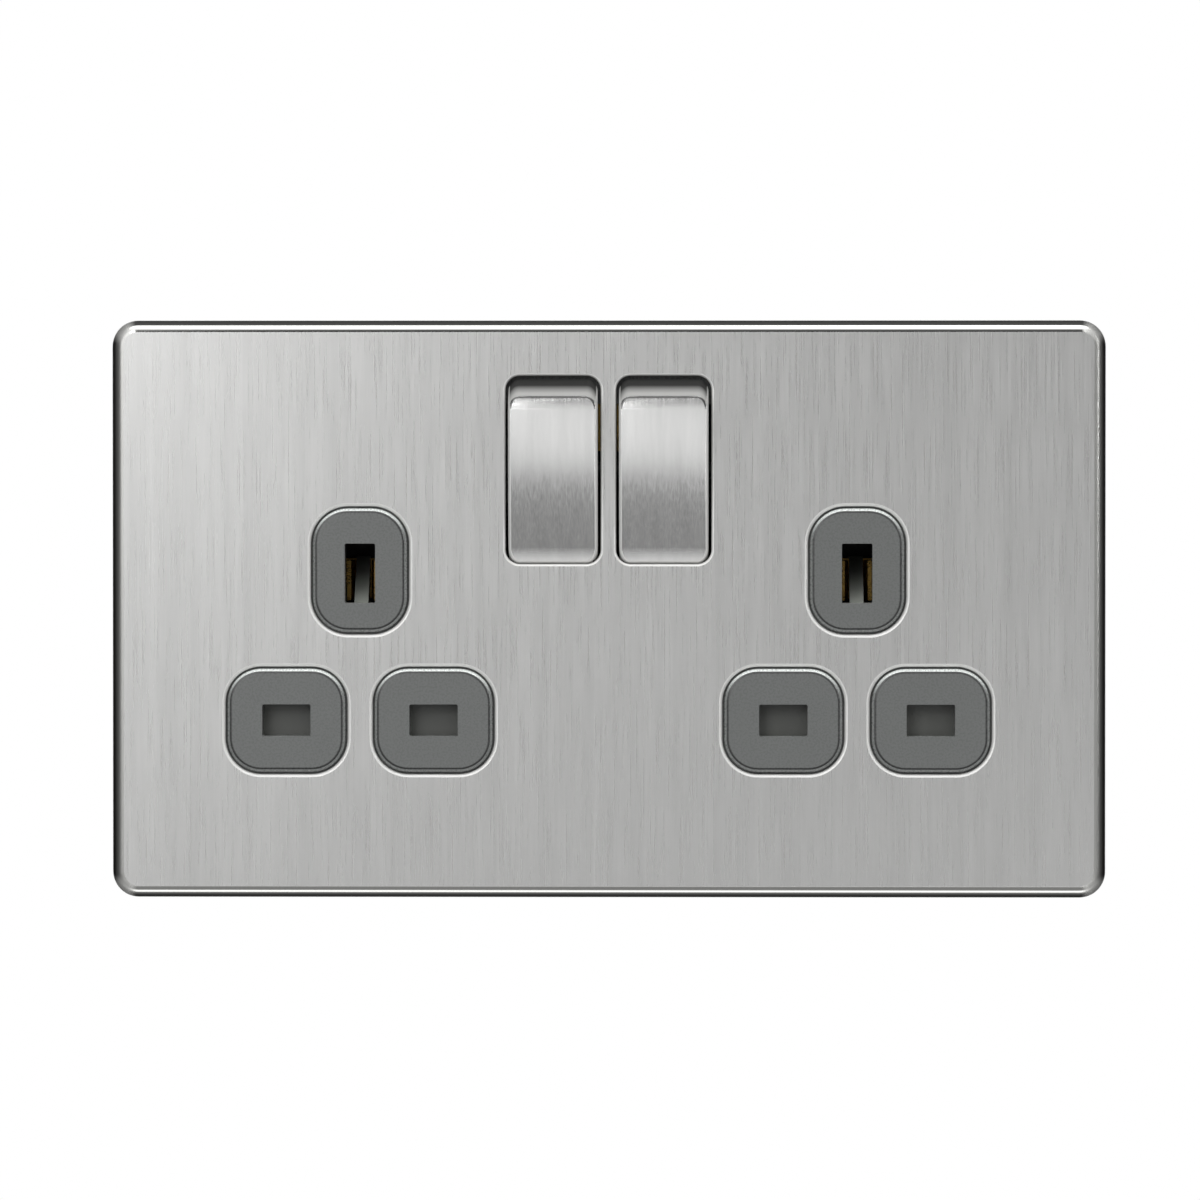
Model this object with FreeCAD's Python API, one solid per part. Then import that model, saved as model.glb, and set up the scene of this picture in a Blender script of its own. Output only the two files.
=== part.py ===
# Twin switched wall socket with a clip-on metal front plate.
# Millimetres. +X right, +Z up, the front faces -Y. Y = 0 is the wall plane,
# and the origin is midway between the two fixing holes.
import math
import os

import FreeCAD
import Part

V = FreeCAD.Vector

# Standard sizes: the fixing holes, and the pin places about the middle of each outlet
FIXING_X = 60.3
PIN_SIDE = 11.115
EARTH_Z = 5.4
LIVE_Z = -16.8

# Outlets
OUTLET_X = FIXING_X - 22.8
EARTH_HOLE = (4.6, 9.0)
LIVE_HOLE = (7.3, 4.85)
EARTH_WINDOW = (14.8, 19.3, 5.6)
LIVE_WINDOW = (18.4, 16.2, 5.4)
EARTH_WINDOW_Z = EARTH_Z + 0.45
ISLAND_GAP = 0.3
ISLAND_PROUD = 0.3
ISLAND_EDGE = 0.7
HOLE_CORNER = 0.25

# Rockers
ROCKER_X = 8.35
ROCKER_Z = 21.0
PIVOT_Y = 3.4
TILT = 8.0
ROCKER_HALF_W = 6.735
ROCKER_FACE = 10.4
ROCKER_HALF_L = 12.55
ROCKER_R = math.hypot(ROCKER_FACE, ROCKER_HALF_L)
ROCKER_BULGE = 0.8
ROCKER_END_ANGLE = 65.0
ROCKER_BACK = -ROCKER_R * math.cos(math.radians(ROCKER_END_ANGLE))
CAP_T = 0.7
CAP_CORNER = 1.7
CAP_EDGE = 0.5
CHEEK_T = 1.435
ROCKER_WINDOW = (14.4, 28.4, 2.2)
ROCKER_ROLL = 0.35
WINDOW_RELIEF = 0.4
TRUNNION_R = 1.25
TRUNNION_END = 7.9
TRUNNION_EDGE = 0.25
CHEEK_R = 2.37
BEARING_GAP = 0.05
TUBE_R = 3.0
TUBE_FLOOR = -6.5
PLUNGER_R = 2.0
PLUNGER_GAP = 0.06
PLUNGER_TOP = -2.0
PLUNGER_SPRING_R = (1.8, 1.35)

# Rocking contact of each switch
SEESAW_Y = 14.6
SEESAW_T = 0.9
SEESAW_W = 4.6
SEESAW_UP = 10.5
SEESAW_DOWN = 6.0
SEESAW_CORNER = 1.2
TIP_R = 1.5
TIP_T = 0.6
TIP_REACH = 9.3
TIP_EDGE = 0.15
SWITCH_GAP = 0.2
TIP_GAP = 0.1

# Housing
WALL = 2.0
PIN_TO_SIDE = 7.385
HOUSING_X = OUTLET_X + PIN_SIDE + PIN_TO_SIDE
HOUSING_Z0 = LIVE_Z - 14.2
HOUSING_Z1 = ROCKER_Z + 13.0
HOUSING_R = 3.0
HOUSING_FRONT = -4.2
HOUSING_FLOOR = -1.8
SPLIT_Y = 8.0
HOUSING_BACK = 22.5
BACK_INNER = HOUSING_BACK - WALL
WELL_GAP = 0.42
WELL_HALF_H = ROCKER_R * math.sin(math.radians(ROCKER_END_ANGLE + TILT)) + 0.49
WELL_FLOOR = -1.0
WELL_R = 1.8
WELL_OUT = ROCKER_X + ROCKER_HALF_W + WELL_GAP
BUMP_HALF_W = WELL_OUT + WALL
BUMP_TOP = ROCKER_Z + WELL_HALF_H + 1.4
BUMP_BACK = -0.1
BUMP_R = 1.5
BEARING_HALF = 5.0
BEARING_BACK = PIVOT_Y + 3.4
FLANGE = 2.5
FLANGE_Y = (-2.8, -1.0)
EAR_X = OUTLET_X + PIN_SIDE + LIVE_WINDOW[0] / 2 + 0.485
EAR_Z = (LIVE_Z - 9.2, LIVE_Z + 9.2)
EYELET_R = 4.1
STRAP_SLOT = 0.5
POST_IN = 5.0
POST_R = 3.3
POST_WEB = 1.2
LOW_POST_FRONT = 2.6
SCREW_POSTS = [
    (s * (HOUSING_X - POST_IN), z) for z in (HOUSING_Z1 - POST_IN, HOUSING_Z0 + POST_IN) for s in (-1, 1)
]

# Housing screws
SCREW_SHANK_R = 1.4
SCREW_PILOT_R = 1.5
SCREW_HOLE_R = 1.6
SCREW_HEAD_R = 2.7
SCREW_HEAD_H = 1.5
SCREW_TIP = 3.2
HEAD_SINK = 2.2
HEAD_HOLE_R = 2.95
RECESS_ARM = (1.5, 0.3, 1.0)

# Back of the housing
ACCESS_R = 3.0
ENTRY_R = (3.4, 2.6)
PANEL_DEPTH = 0.8
BACK_EDGE = 1.0

# Front plate
PLATE_W = 2 * (FIXING_X + 14.7)
PLATE_H = 2 * (BUMP_TOP + 5.122)
PLATE_CORNER = 4.0
PLATE_T = 1.0
PLATE_FACE = -5.6
PLATE_ROLL = 1.8
PLATE_LIFT = 0.3
EDGE_ROLL = 0.5

# Mounting frame
FRAME_GAP = 0.7
FRAME_FRONT = -4.4
WEB_BACK = FLANGE_Y[0]
FRAME_WALL = 1.6
FIXING_R = 2.0
FIXING_SEAT = -2.1
FIXING_BORE = 4.4
FIXING_BOSS = 6.0
SEAT_EDGE = FIXING_X - FIXING_R - 0.5
FRAME_FIT = 0.3
COLLAR_T = 1.2
RIB_T = 1.2
HOOK_X = (OUTLET_X - 11.5, OUTLET_X - 3.5)
SNAP_X = 0.32 * PLATE_W
SNAP_HALF_W = 5.0
SNAP_SLIT = 0.8
SNAP_FOOT = -3.0
NUB_R = 1.1
NUB_Y = -1.6
NUB_HALF_W = 3.2

# Shutters
SHUTTER_Y = (-1.55, 0.75)
SHUTTER_GAP = 0.4
RAIL_T = 1.1
SHUTTER_HALF_W = HOUSING_X - WALL - OUTLET_X - SHUTTER_GAP - 0.7
SHUTTER_BAR = (LIVE_Z - 3.2, LIVE_Z + 3.2)
SHUTTER_TRAVEL = 6.5
TONGUE_HALF_W = 1.05
TONGUE_TOP = EARTH_Z + 2.5
TONGUE_FOOT = TONGUE_TOP - 11.5
TONGUE_BACK = 6.4
SPRING_TOP = LIVE_Z + 1.8
SPRING_R = 1.1
SPRING_WIRE = 0.3
SPRING_SLOT = 1.45
NECK_HALF_W = 3.2
NECK_TOP = TONGUE_TOP - 7.0
GUIDE_Y = (1.0, 2.2)
GUIDE_TOP = EARTH_Z + 6.6
GUIDE_PIN_HOLE = (8.2, 5.6)
GUIDE_SLOT = 2.8

# Current bars and contacts
LIVE_BAR_Y = 16.2
LINE_BAR_Y = SEESAW_Y + SEESAW_T + 2 * TIP_T + TIP_GAP
EARTH_BAR_Y = 18.6
BAR_T = 1.0
BAR_HALF_W = 2.5
LEAF_T = 0.6
PIN_LEAF_W = 6.0
EARTH_LEAF_Z = (EARTH_Z - 4.2, EARTH_Z + 1.8)
EARTH_TERMINAL_X = 24.0
BLOCK_HALF = 4.5
BLOCK_FRONT = 3.6
WIRE_R = 2.0
CLAMP_R = 1.9
CLAMP_LENGTH = 7.0
CLAMP_GAP = 0.06
CLAMP_EDGE = 0.35
CLAMP_SLOT = (0.7, 1.0)
BLOCK_EDGE = 0.5
STRAP_T = 0.5
STRAP_HALF_W = 2.4


# Helpers
def box(x0, x1, y0, y1, z0, z1):
    return Part.makeBox(x1 - x0, y1 - y0, z1 - z0, V(x0, y0, z0))


def side_box(s, x0, x1, y0, y1, z0, z1):
    """A box on the left for s = -1, or on the right for s = 1."""
    lo, hi = sorted((s * x0, s * x1))
    return box(lo, hi, y0, y1, z0, z1)


def rod_y(x, z, radius, y0, y1):
    return Part.makeCylinder(radius, y1 - y0, V(x, y0, z), V(0, 1, 0))


def rod_z(x, y, radius, z0, z1):
    return Part.makeCylinder(radius, z1 - z0, V(x, y, z0), V(0, 0, 1))


def rod_x(y, z, radius, x0, x1):
    return Part.makeCylinder(radius, x1 - x0, V(x0, y, z), V(1, 0, 0))


def arc(a, b, c):
    return Part.Arc(a, b, c).toShape()


def rounded_wire(cx, cz, w, h, r, y):
    """A rectangle with round corners in a plane of constant Y."""
    hx = w / 2 - r
    hz = h / 2 - r
    edges = []
    for i in range(4):
        a = math.radians(90 * i)
        sx = 1 if i in (0, 3) else -1
        sz = 1 if i in (0, 1) else -1
        c = V(cx + sx * hx, y, cz + sz * hz)
        p = [c + V(r * math.cos(a + k), 0, r * math.sin(a + k)) for k in (0, math.pi / 4, math.pi / 2)]
        edges.append((p[0], p[1], p[2]))
    wire = []
    for i in range(4):
        wire.append(arc(*edges[i]))
        wire.append(Part.makeLine(edges[i][2], edges[(i + 1) % 4][0]))
    return Part.Wire(wire)


def rounded(cx, cz, w, h, r, y0, y1):
    face = Part.Face(rounded_wire(cx, cz, w, h, r, y0))
    return face.extrude(V(0, y1 - y0, 0))


def rounded_span(x0, x1, z0, z1, r, y0, y1):
    return rounded((x0 + x1) / 2, (z0 + z1) / 2, x1 - x0, z1 - z0, r, y0, y1)


def plate_xz(points, y0, y1):
    """A flat stamping: an outline in X and Z, with its thickness along Y."""
    pts = [V(x, y0, z) for x, z in points]
    face = Part.Face(Part.makePolygon(pts + [pts[0]]))
    return face.extrude(V(0, y1 - y0, 0))


def fillet(shape, radius, test):
    edges = [e for e in shape.Edges if test(e)]
    return shape.makeFillet(radius, edges)


def chamfer(shape, size, test):
    edges = [e for e in shape.Edges if test(e)]
    return shape.makeChamfer(size, edges)


def at_y(y):
    """Picks the edges that lie in one plane of constant Y."""
    return lambda e: abs(e.BoundBox.YMin - y) < 1e-4 and abs(e.BoundBox.YMax - y) < 1e-4


def at_x(x):
    """Picks the edges that lie in one plane of constant X."""
    return lambda e: abs(e.BoundBox.XMin - x) < 1e-4 and abs(e.BoundBox.XMax - x) < 1e-4


def strip(path, thick, bend, place, push):
    """A bent strip: a centreline with round bends, thickened and pushed out to its width."""
    count = len(path)
    dirs = []
    for i in range(count - 1):
        du = path[i + 1][0] - path[i][0]
        dv = path[i + 1][1] - path[i][1]
        n = math.hypot(du, dv)
        dirs.append((du / n, dv / n))

    def side(off):
        edges = []
        d = dirs[0]
        last = (path[0][0] - d[1] * off, path[0][1] + d[0] * off)
        first = last
        for i in range(1, count - 1):
            d0 = dirs[i - 1]
            d1 = dirs[i]
            cross = d0[0] * d1[1] - d0[1] * d1[0]
            dot = d0[0] * d1[0] + d0[1] * d1[1]
            turn = math.atan2(cross, dot)
            s = 1 if turn > 0 else -1
            tl = bend * math.tan(abs(turn) / 2)
            p = path[i]
            t0 = (p[0] - d0[0] * tl, p[1] - d0[1] * tl)
            t1 = (p[0] + d1[0] * tl, p[1] + d1[1] * tl)
            c = (t0[0] - d0[1] * s * bend, t0[1] + d0[0] * s * bend)
            radius = bend - s * off
            m = (p[0] - c[0], p[1] - c[1])
            k = radius / math.hypot(*m)
            a = (t0[0] - d0[1] * off, t0[1] + d0[0] * off)
            b = (t1[0] - d1[1] * off, t1[1] + d1[0] * off)
            edges.append(Part.makeLine(place(*last), place(*a)))
            edges.append(arc(place(*a), place(c[0] + m[0] * k, c[1] + m[1] * k), place(*b)))
            last = b
        d = dirs[-1]
        end = (path[-1][0] - d[1] * off, path[-1][1] + d[0] * off)
        edges.append(Part.makeLine(place(*last), place(*end)))
        return edges, first, end

    left, l0, l1 = side(thick / 2)
    right, r0, r1 = side(-thick / 2)
    caps = [Part.makeLine(place(*l0), place(*r0)), Part.makeLine(place(*l1), place(*r1))]
    loop = Part.Wire(Part.__sortEdges__(left + right + caps))
    return Part.Face(loop).extrude(push)


def tilted(shape, x, degrees):
    out = shape.copy()
    out.rotate(V(x, PIVOT_Y, ROCKER_Z), V(1, 0, 0), degrees)
    return out


def clean(shape):
    shape = shape.removeSplitter()
    solids = shape.Solids
    return solids[0] if len(solids) == 1 else shape


# Front plate: a pressed sheet with rolled edges, a skirt, six pin windows and two rocker windows
def front_plate():
    outer = rounded(0, 0, PLATE_W, PLATE_H, PLATE_CORNER, PLATE_FACE, -PLATE_LIFT)
    outer = fillet(outer, PLATE_ROLL, at_y(PLATE_FACE))
    back = PLATE_FACE + PLATE_T
    w = PLATE_W - 2 * PLATE_T
    h = PLATE_H - 2 * PLATE_T
    inner = rounded(0, 0, w, h, PLATE_CORNER - PLATE_T, back, 0)
    inner = fillet(inner, PLATE_ROLL - PLATE_T, at_y(back))
    body = outer.cut(inner)
    for x, z, w, h, r, _ in windows():
        body = body.cut(rounded(x, z, w, h, r, PLATE_FACE - 1, back + 1))
    for roll in (EDGE_ROLL, ROCKER_ROLL):
        body = chamfer(body, roll, lambda e: at_y(PLATE_FACE)(e) and on_window(e, roll))
    # The rocker windows are relieved behind, so that the rockers' ends can pass closely
    body = chamfer(body, WINDOW_RELIEF, lambda e: at_y(back)(e) and on_window(e, ROCKER_ROLL))
    return clean(body)


def windows():
    out = []
    for s in (-1, 1):
        out.append((s * OUTLET_X, EARTH_WINDOW_Z, *EARTH_WINDOW, EDGE_ROLL))
        for p in (-1, 1):
            out.append((s * OUTLET_X + p * PIN_SIDE, LIVE_Z, *LIVE_WINDOW, EDGE_ROLL))
        out.append((s * ROCKER_X, ROCKER_Z, *ROCKER_WINDOW, ROCKER_ROLL))
    return out


def on_window(e, wanted):
    """True for an edge of a window whose front edge is broken by the wanted amount."""
    c = e.BoundBox.Center
    for x, z, w, h, _, roll in windows():
        if roll == wanted and abs(c.x - x) < w / 2 + 0.1 and abs(c.z - z) < h / 2 + 0.1:
            return True
    return False


# Mounting frame: a moulded tray behind the plate with snap fingers, a collar and two fixing holes
def mounting_frame():
    w = PLATE_W - 2 * PLATE_T - 2 * FRAME_GAP
    h = PLATE_H - 2 * PLATE_T - 2 * FRAME_GAP
    r = PLATE_CORNER - PLATE_T - 0.4
    body = rounded(0, 0, w, h, r, FRAME_FRONT, 0)
    body = chamfer(body, 0.4, at_y(FRAME_FRONT))
    tray = rounded(0, 0, w - 2 * FRAME_WALL, h - 2 * FRAME_WALL, 1.4, WEB_BACK, 1)
    body = body.cut(tray)
    gap = FRAME_FIT
    body = body.fuse(collar(gap + COLLAR_T))
    for s in (-1, 1):
        body = body.fuse(rod_y(s * FIXING_X, 0, FIXING_BOSS, FRAME_FRONT, 0))
        for z in (-h / 3, -h / 6, h / 6, h / 3):
            rib = (z - RIB_T / 2, z + RIB_T / 2)
            body = body.fuse(side_box(s, HOUSING_X + 3, PLATE_W / 2 - 3, WEB_BACK, 0, *rib))
    body = body.cut(collar(gap))
    y0 = FRAME_FRONT - 1
    half = HOUSING_X + gap
    opening = rounded_span(-half, half, HOUSING_Z0 - gap, HOUSING_Z1 + gap, HOUSING_R, y0, 1)
    half = BUMP_HALF_W + gap
    top = rounded_span(-half, half, ROCKER_Z, BUMP_TOP + gap, BUMP_R, y0, 1)
    half = EAR_X + gap
    ears = rounded_span(-half, half, EAR_Z[0] - gap, EAR_Z[1] + gap, BUMP_R, y0, 1)
    body = body.cut(opening.fuse(top).fuse(ears))
    for s in (-1, 1):
        # The strap comes down between the housing and the seat of the fixing screw
        way = STRAP_HALF_W + 0.6
        body = body.cut(rod_y(s * FIXING_X, 0, FIXING_BORE, y0, FIXING_SEAT))
        body = body.cut(side_box(s, HOUSING_X, FIXING_X, y0, FIXING_SEAT, -way, way))
        body = body.cut(side_box(s, HOUSING_X, SEAT_EDGE, FIXING_SEAT - 1, 1, -way, way))
        seat = rod_y(s * FIXING_X, 0, EYELET_R, FIXING_SEAT, 0)
        body = body.fuse(seat.common(side_box(s, SEAT_EDGE, FIXING_X + 9, -9, 9, -9, 9)))
        body = body.cut(rod_y(s * FIXING_X, 0, FIXING_R, y0, 1))
    # Snap hooks that hold the housing flange against the web
    top = HOUSING_Z1 + FLANGE
    low = HOUSING_Z0 - FLANGE
    for s in (-1, 1):
        for z0, z1 in ((top - 0.3, top + 0.7), (low - 0.7, low + 0.3)):
            body = body.fuse(side_box(s, *HOOK_X, FLANGE_Y[1], 0, z0, z1))
    # Snap fingers: slits in the rim with a rounded nub between them
    for s in (-1, 1):
        for x in (-SNAP_X, 0.0, SNAP_X):
            for d in (-SNAP_HALF_W, SNAP_HALF_W):
                z0, z1 = sorted((s * (h / 2 - FRAME_WALL - 0.01), s * (h / 2 + 1)))
                slit = (x + d - SNAP_SLIT / 2, x + d + SNAP_SLIT / 2)
                body = body.cut(box(*slit, SNAP_FOOT, 1, z0, z1))
            nub = rod_x(NUB_Y, s * (h / 2 - 0.75), NUB_R, x - NUB_HALF_W, x + NUB_HALF_W)
            body = body.fuse(nub.common(box(x - 4, x + 4, -3, 0, -h, h)))
    return clean(body)


def collar(grow):
    """The outline of the housing flange and its rocker bump, grown by a clearance or a wall."""
    half = HOUSING_X + FLANGE + grow
    z0 = HOUSING_Z0 - FLANGE - grow
    z1 = HOUSING_Z1 + FLANGE + grow
    main = rounded_span(-half, half, z0, z1, HOUSING_R, WEB_BACK, 0)
    half = BUMP_HALF_W + grow
    return main.fuse(rounded_span(-half, half, ROCKER_Z, BUMP_TOP + grow, BUMP_R, WEB_BACK, 0))


# Front housing: islands with the pin apertures, rocker wells, bearings, flange and screw bosses
def housing_outline(grow, r, y0, y1):
    """The housing's rectangle, grown or shrunk, between two depths."""
    half = HOUSING_X + grow
    return rounded_span(-half, half, HOUSING_Z0 - grow, HOUSING_Z1 + grow, r, y0, y1)


def housing_front():
    body = housing_outline(0, HOUSING_R, HOUSING_FRONT, SPLIT_Y)
    body = body.cut(housing_outline(-WALL, HOUSING_R / 2, HOUSING_FLOOR, SPLIT_Y + 1))
    hollow = box(-HOUSING_X + 1, HOUSING_X - 1, -9, 9, HOUSING_Z0 + 1, HOUSING_Z1 - 1)
    body = body.fuse(housing_outline(FLANGE, HOUSING_R, *FLANGE_Y).cut(hollow))
    low = HOUSING_Z1 - 3
    bump = rounded_span(-BUMP_HALF_W, BUMP_HALF_W, low, BUMP_TOP, BUMP_R, HOUSING_FRONT, BUMP_BACK)
    body = body.fuse(bump)
    # Ears that carry the outermost islands past the side walls
    ears = rounded_span(-EAR_X, EAR_X, *EAR_Z, BUMP_R, HOUSING_FRONT, FLANGE_Y[1])
    body = body.fuse(ears.cut(hollow))
    # Islands
    for s in (-1, 1):
        body = body.fuse(island(s * OUTLET_X, EARTH_WINDOW_Z, EARTH_WINDOW))
        for p in (-1, 1):
            body = body.fuse(island(s * OUTLET_X + p * PIN_SIDE, LIVE_Z, LIVE_WINDOW))
    # Bearing walls beside the wells
    centre_half = ROCKER_X - ROCKER_HALF_W - WELL_GAP
    walls = [(-centre_half, centre_half)]
    for s in (-1, 1):
        walls.append(tuple(sorted((s * WELL_OUT, s * BUMP_HALF_W))))
    y0 = HOUSING_FLOOR - 0.5
    bearing = (y0, BEARING_BACK, ROCKER_Z - BEARING_HALF, ROCKER_Z + BEARING_HALF)
    for x0, x1 in walls:
        body = body.fuse(box(x0, x1, *bearing))
        body = body.fuse(box(x0, x1, y0, 1.0, ROCKER_Z - WELL_HALF_H, HOUSING_Z1 - 1.5))
    # Wells
    for s in (-1, 1):
        w = 2 * (ROCKER_HALF_W + WELL_GAP)
        h = 2 * WELL_HALF_H
        body = body.cut(rounded(s * ROCKER_X, ROCKER_Z, w, h, WELL_R, HOUSING_FRONT - 1, WELL_FLOOR))
    # Trunnion notches, open to the back
    r = TRUNNION_R + BEARING_GAP
    across = BUMP_HALF_W + 1
    body = body.cut(rod_x(PIVOT_Y, ROCKER_Z, r, -across, across))
    body = body.cut(box(-across, across, PIVOT_Y, PIVOT_Y + 5, ROCKER_Z - r, ROCKER_Z + r))
    # Pin apertures
    for s in (-1, 1):
        x = s * OUTLET_X
        through = (HOLE_CORNER, -9, HOUSING_FLOOR + 1)
        body = body.cut(rounded(x, EARTH_Z, *EARTH_HOLE, *through))
        for p in (-1, 1):
            body = body.cut(rounded(x + p * PIN_SIDE, LIVE_Z, *LIVE_HOLE, *through))
        # Rails that guide the shutter and carry the guide plate
        y1 = GUIDE_Y[0]
        edge = SHUTTER_HALF_W + SHUTTER_GAP
        for p in (-1, 1):
            lo, hi = sorted((x + p * edge, x + p * (edge + RAIL_T)))
            body = body.fuse(box(lo, hi, y0, y1, LIVE_Z - 10.7, LIVE_Z + 7.8))
            body = body.fuse(box(lo, hi, y0, y1, GUIDE_TOP - 3.0, GUIDE_TOP))
            lo, hi = sorted((x + p * 3.6, x + p * 4.8))
            body = body.fuse(box(lo, hi, y0, y1, LIVE_Z + 5.3, EARTH_Z - 5.4))
    # Screw bosses in the corners, above the shutters' path at the bottom
    for x, z in SCREW_POSTS:
        base = y0 if z > 0 else LOW_POST_FRONT
        side = 1 if x > 0 else -1
        boss = rod_y(x, z, POST_R, base, SPLIT_Y)
        x0, x1 = sorted((x, side * (HOUSING_X - WALL + 0.5)))
        z0, z1 = sorted((z, HOUSING_Z1 - WALL + 0.5 if z > 0 else HOUSING_Z0 + WALL - 0.5))
        boss = boss.fuse(box(x0, x1, base, SPLIT_Y, z - POST_WEB, z + POST_WEB))
        boss = boss.fuse(box(x - POST_WEB, x + POST_WEB, base, SPLIT_Y, z0, z1))
        body = body.fuse(boss)
        body = body.cut(rod_y(x, z, SCREW_PILOT_R, max(base, 0.0) - 0.5, SPLIT_Y + 1))
    # Slots where the earth straps pass the side walls and the flange
    way = STRAP_HALF_W + STRAP_SLOT
    for s in (-1, 1):
        body = body.cut(side_box(s, HOUSING_X - WALL - 1, HOUSING_X + FLANGE + 1, -0.75, 0.15, -way, way))
        body = body.cut(side_box(s, HOUSING_X + 0.3, HOUSING_X + FLANGE + 1, -3.5, 0, -way, way))
        body = body.cut(rod_y(s * FIXING_X, 0, EYELET_R + 0.6, -5, 0))
    return clean(body)


def island(x, z, window):
    w, h, r = window
    g = ISLAND_GAP
    front = PLATE_FACE - ISLAND_PROUD
    out = rounded(x, z, w - 2 * g, h - 2 * g, r - g, front, HOUSING_FRONT + 0.5)
    return fillet(out, ISLAND_EDGE, at_y(front))


# Rear housing: a tray with screw posts, terminal access holes, wire entries and pads under the bars
def housing_rear():
    body = housing_outline(0, HOUSING_R, SPLIT_Y, HOUSING_BACK)
    body = chamfer(body, BACK_EDGE, at_y(HOUSING_BACK))
    body = body.cut(housing_outline(-WALL, HOUSING_R / 2, SPLIT_Y - 1, BACK_INNER))
    for x, z in SCREW_POSTS:
        body = body.fuse(rod_y(x, z, POST_R, SPLIT_Y, BACK_INNER + 0.5))
    # Pads that the current bars rest on
    for x, z, w, h, y in bar_pads():
        body = body.fuse(box(x - w / 2, x + w / 2, y, BACK_INNER + 0.5, z - h / 2, z + h / 2))
    for x, z in SCREW_POSTS:
        body = body.cut(rod_y(x, z, SCREW_HOLE_R, SPLIT_Y - 1, HOUSING_BACK + 1))
        body = body.cut(rod_y(x, z, HEAD_HOLE_R, HOUSING_BACK - HEAD_SINK, HOUSING_BACK + 1))
    for x, z, y, up in terminals():
        body = body.cut(rod_y(x, z, ACCESS_R, BACK_INNER - 1, HOUSING_BACK + 1))
        mouth = V(x, y, HOUSING_Z1 if up else HOUSING_Z0)
        body = body.cut(Part.makeCone(*ENTRY_R, WALL, mouth, V(0, 0, -1 if up else 1)))
    # Shallow panels pressed into the back, between ribs
    low = (LIVE_Z - 1.2, EARTH_Z - 7.4)
    high = (EARTH_Z + 4.6, HOUSING_Z1 - 3.0)
    for s in (-1, 1):
        for inner, (z0, z1) in ((ROCKER_X, low), (OUTLET_X - 7.5, high)):
            x0, x1 = sorted((s * inner, s * (OUTLET_X + 8.5)))
            panel = rounded_span(x0, x1, z0, z1, 1.0, HOUSING_BACK - PANEL_DEPTH, HOUSING_BACK + 1)
            body = body.cut(panel)
    return clean(body)


def terminals():
    """Each clamping screw's place, the wire bore's depth, and whether the wire comes from above."""
    return [
        (0.0, ROCKER_Z + 6.0, 12.4, True),
        (0.0, LIVE_Z - 8.2, 11.8, False),
        (-EARTH_TERMINAL_X, ROCKER_Z + 3.0, 13.2, True),
        (EARTH_TERMINAL_X, ROCKER_Z + 3.0, 13.2, True),
    ]


def bar_pads():
    back_live = LIVE_BAR_Y + BAR_T
    back_line = LINE_BAR_Y + BAR_T
    back_earth = EARTH_BAR_Y + BAR_T
    out = [
        (-OUTLET_X - PIN_SIDE, LIVE_Z, 3.0, 3.0, back_live),
        (OUTLET_X - PIN_SIDE, LIVE_Z, 3.0, 3.0, back_live),
        (-OUTLET_X / 2, LIVE_Z - 6.4, 3.0, 2.4, back_live),
        (0.0, EARTH_Z, 4.0, 3.0, back_earth),
    ]
    for s in (-1, 1):
        out += [
            (s * ROCKER_X, ROCKER_Z - 6.0, 3.0, 3.0, back_live),
            (s * OUTLET_X / 2, LIVE_Z + 11.8, 3.0, 3.0, back_live),
            (s * OUTLET_X + PIN_SIDE, LIVE_Z, 3.0, 3.0, back_live),
            (s * (ROCKER_X + 1.25), ROCKER_Z + 9.2, 3.0, 2.6, back_line),
            (s * OUTLET_X, EARTH_Z, 4.0, 3.0, back_earth),
        ]
    return out


def housing_screw(x, z):
    """A self-cutting screw: pan head with a cross recess, and a pointed shank."""
    head = HOUSING_BACK - HEAD_SINK
    crown = head + SCREW_HEAD_H
    pts = [
        V(0, crown, 0),
        V(SCREW_HEAD_R - 0.7, crown, 0),
        V(SCREW_HEAD_R, crown - 0.7, 0),
        V(SCREW_HEAD_R, head, 0),
        V(SCREW_SHANK_R, head, 0),
        V(SCREW_SHANK_R, SCREW_TIP + SCREW_SHANK_R, 0),
        V(0, SCREW_TIP, 0),
    ]
    shape = Part.Face(Part.makePolygon(pts + [pts[0]])).revolve(V(0, 0, 0), V(0, 1, 0), 360)
    shape.translate(V(x, 0, z))
    arm, half, depth = RECESS_ARM
    for a in (0, 90):
        bar = box(-arm, arm, crown - depth, crown + 1, -half, half)
        bar.rotate(V(0, 0, 0), V(0, 1, 0), a)
        bar.translate(V(x, 0, z))
        shape = shape.cut(bar)
    return clean(shape)


# Rockers
def rocker_profile(face, half_l, bulge, x_half, back):
    """The side profile of a rocker, with arc ends about the pivot, pushed out to its width."""
    r = math.hypot(face, half_l)
    a0 = math.atan2(half_l, face)
    a1 = math.acos(-back / r)

    def at(angle, sign):
        return V(-x_half, -r * math.cos(angle), sign * r * math.sin(angle))

    mid = V(-x_half, -face - bulge, 0)
    edges = [
        arc(at(a0, -1), mid, at(a0, 1)),
        arc(at(a0, 1), at((a0 + a1) / 2, 1), at(a1, 1)),
        Part.makeLine(at(a1, 1), at(a1, -1)),
        arc(at(a1, -1), at((a0 + a1) / 2, -1), at(a0, -1)),
    ]
    return Part.Face(Part.Wire(edges)).extrude(V(2 * x_half, 0, 0))


def rocker_cap(x):
    outer = rocker_profile(ROCKER_FACE, ROCKER_HALF_L, ROCKER_BULGE, ROCKER_HALF_W, ROCKER_BACK)
    outer = fillet(outer, CAP_CORNER, end_corner)
    outer = fillet(outer, CAP_EDGE, lambda e: e.BoundBox.YMax < -ROCKER_FACE + 0.3)
    inner = rocker_core_block(ROCKER_BACK + 0.5)
    cap = outer.cut(inner)
    cap.translate(V(x, PIVOT_Y, ROCKER_Z))
    return tilted(clean(cap), x, TILT)


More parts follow.
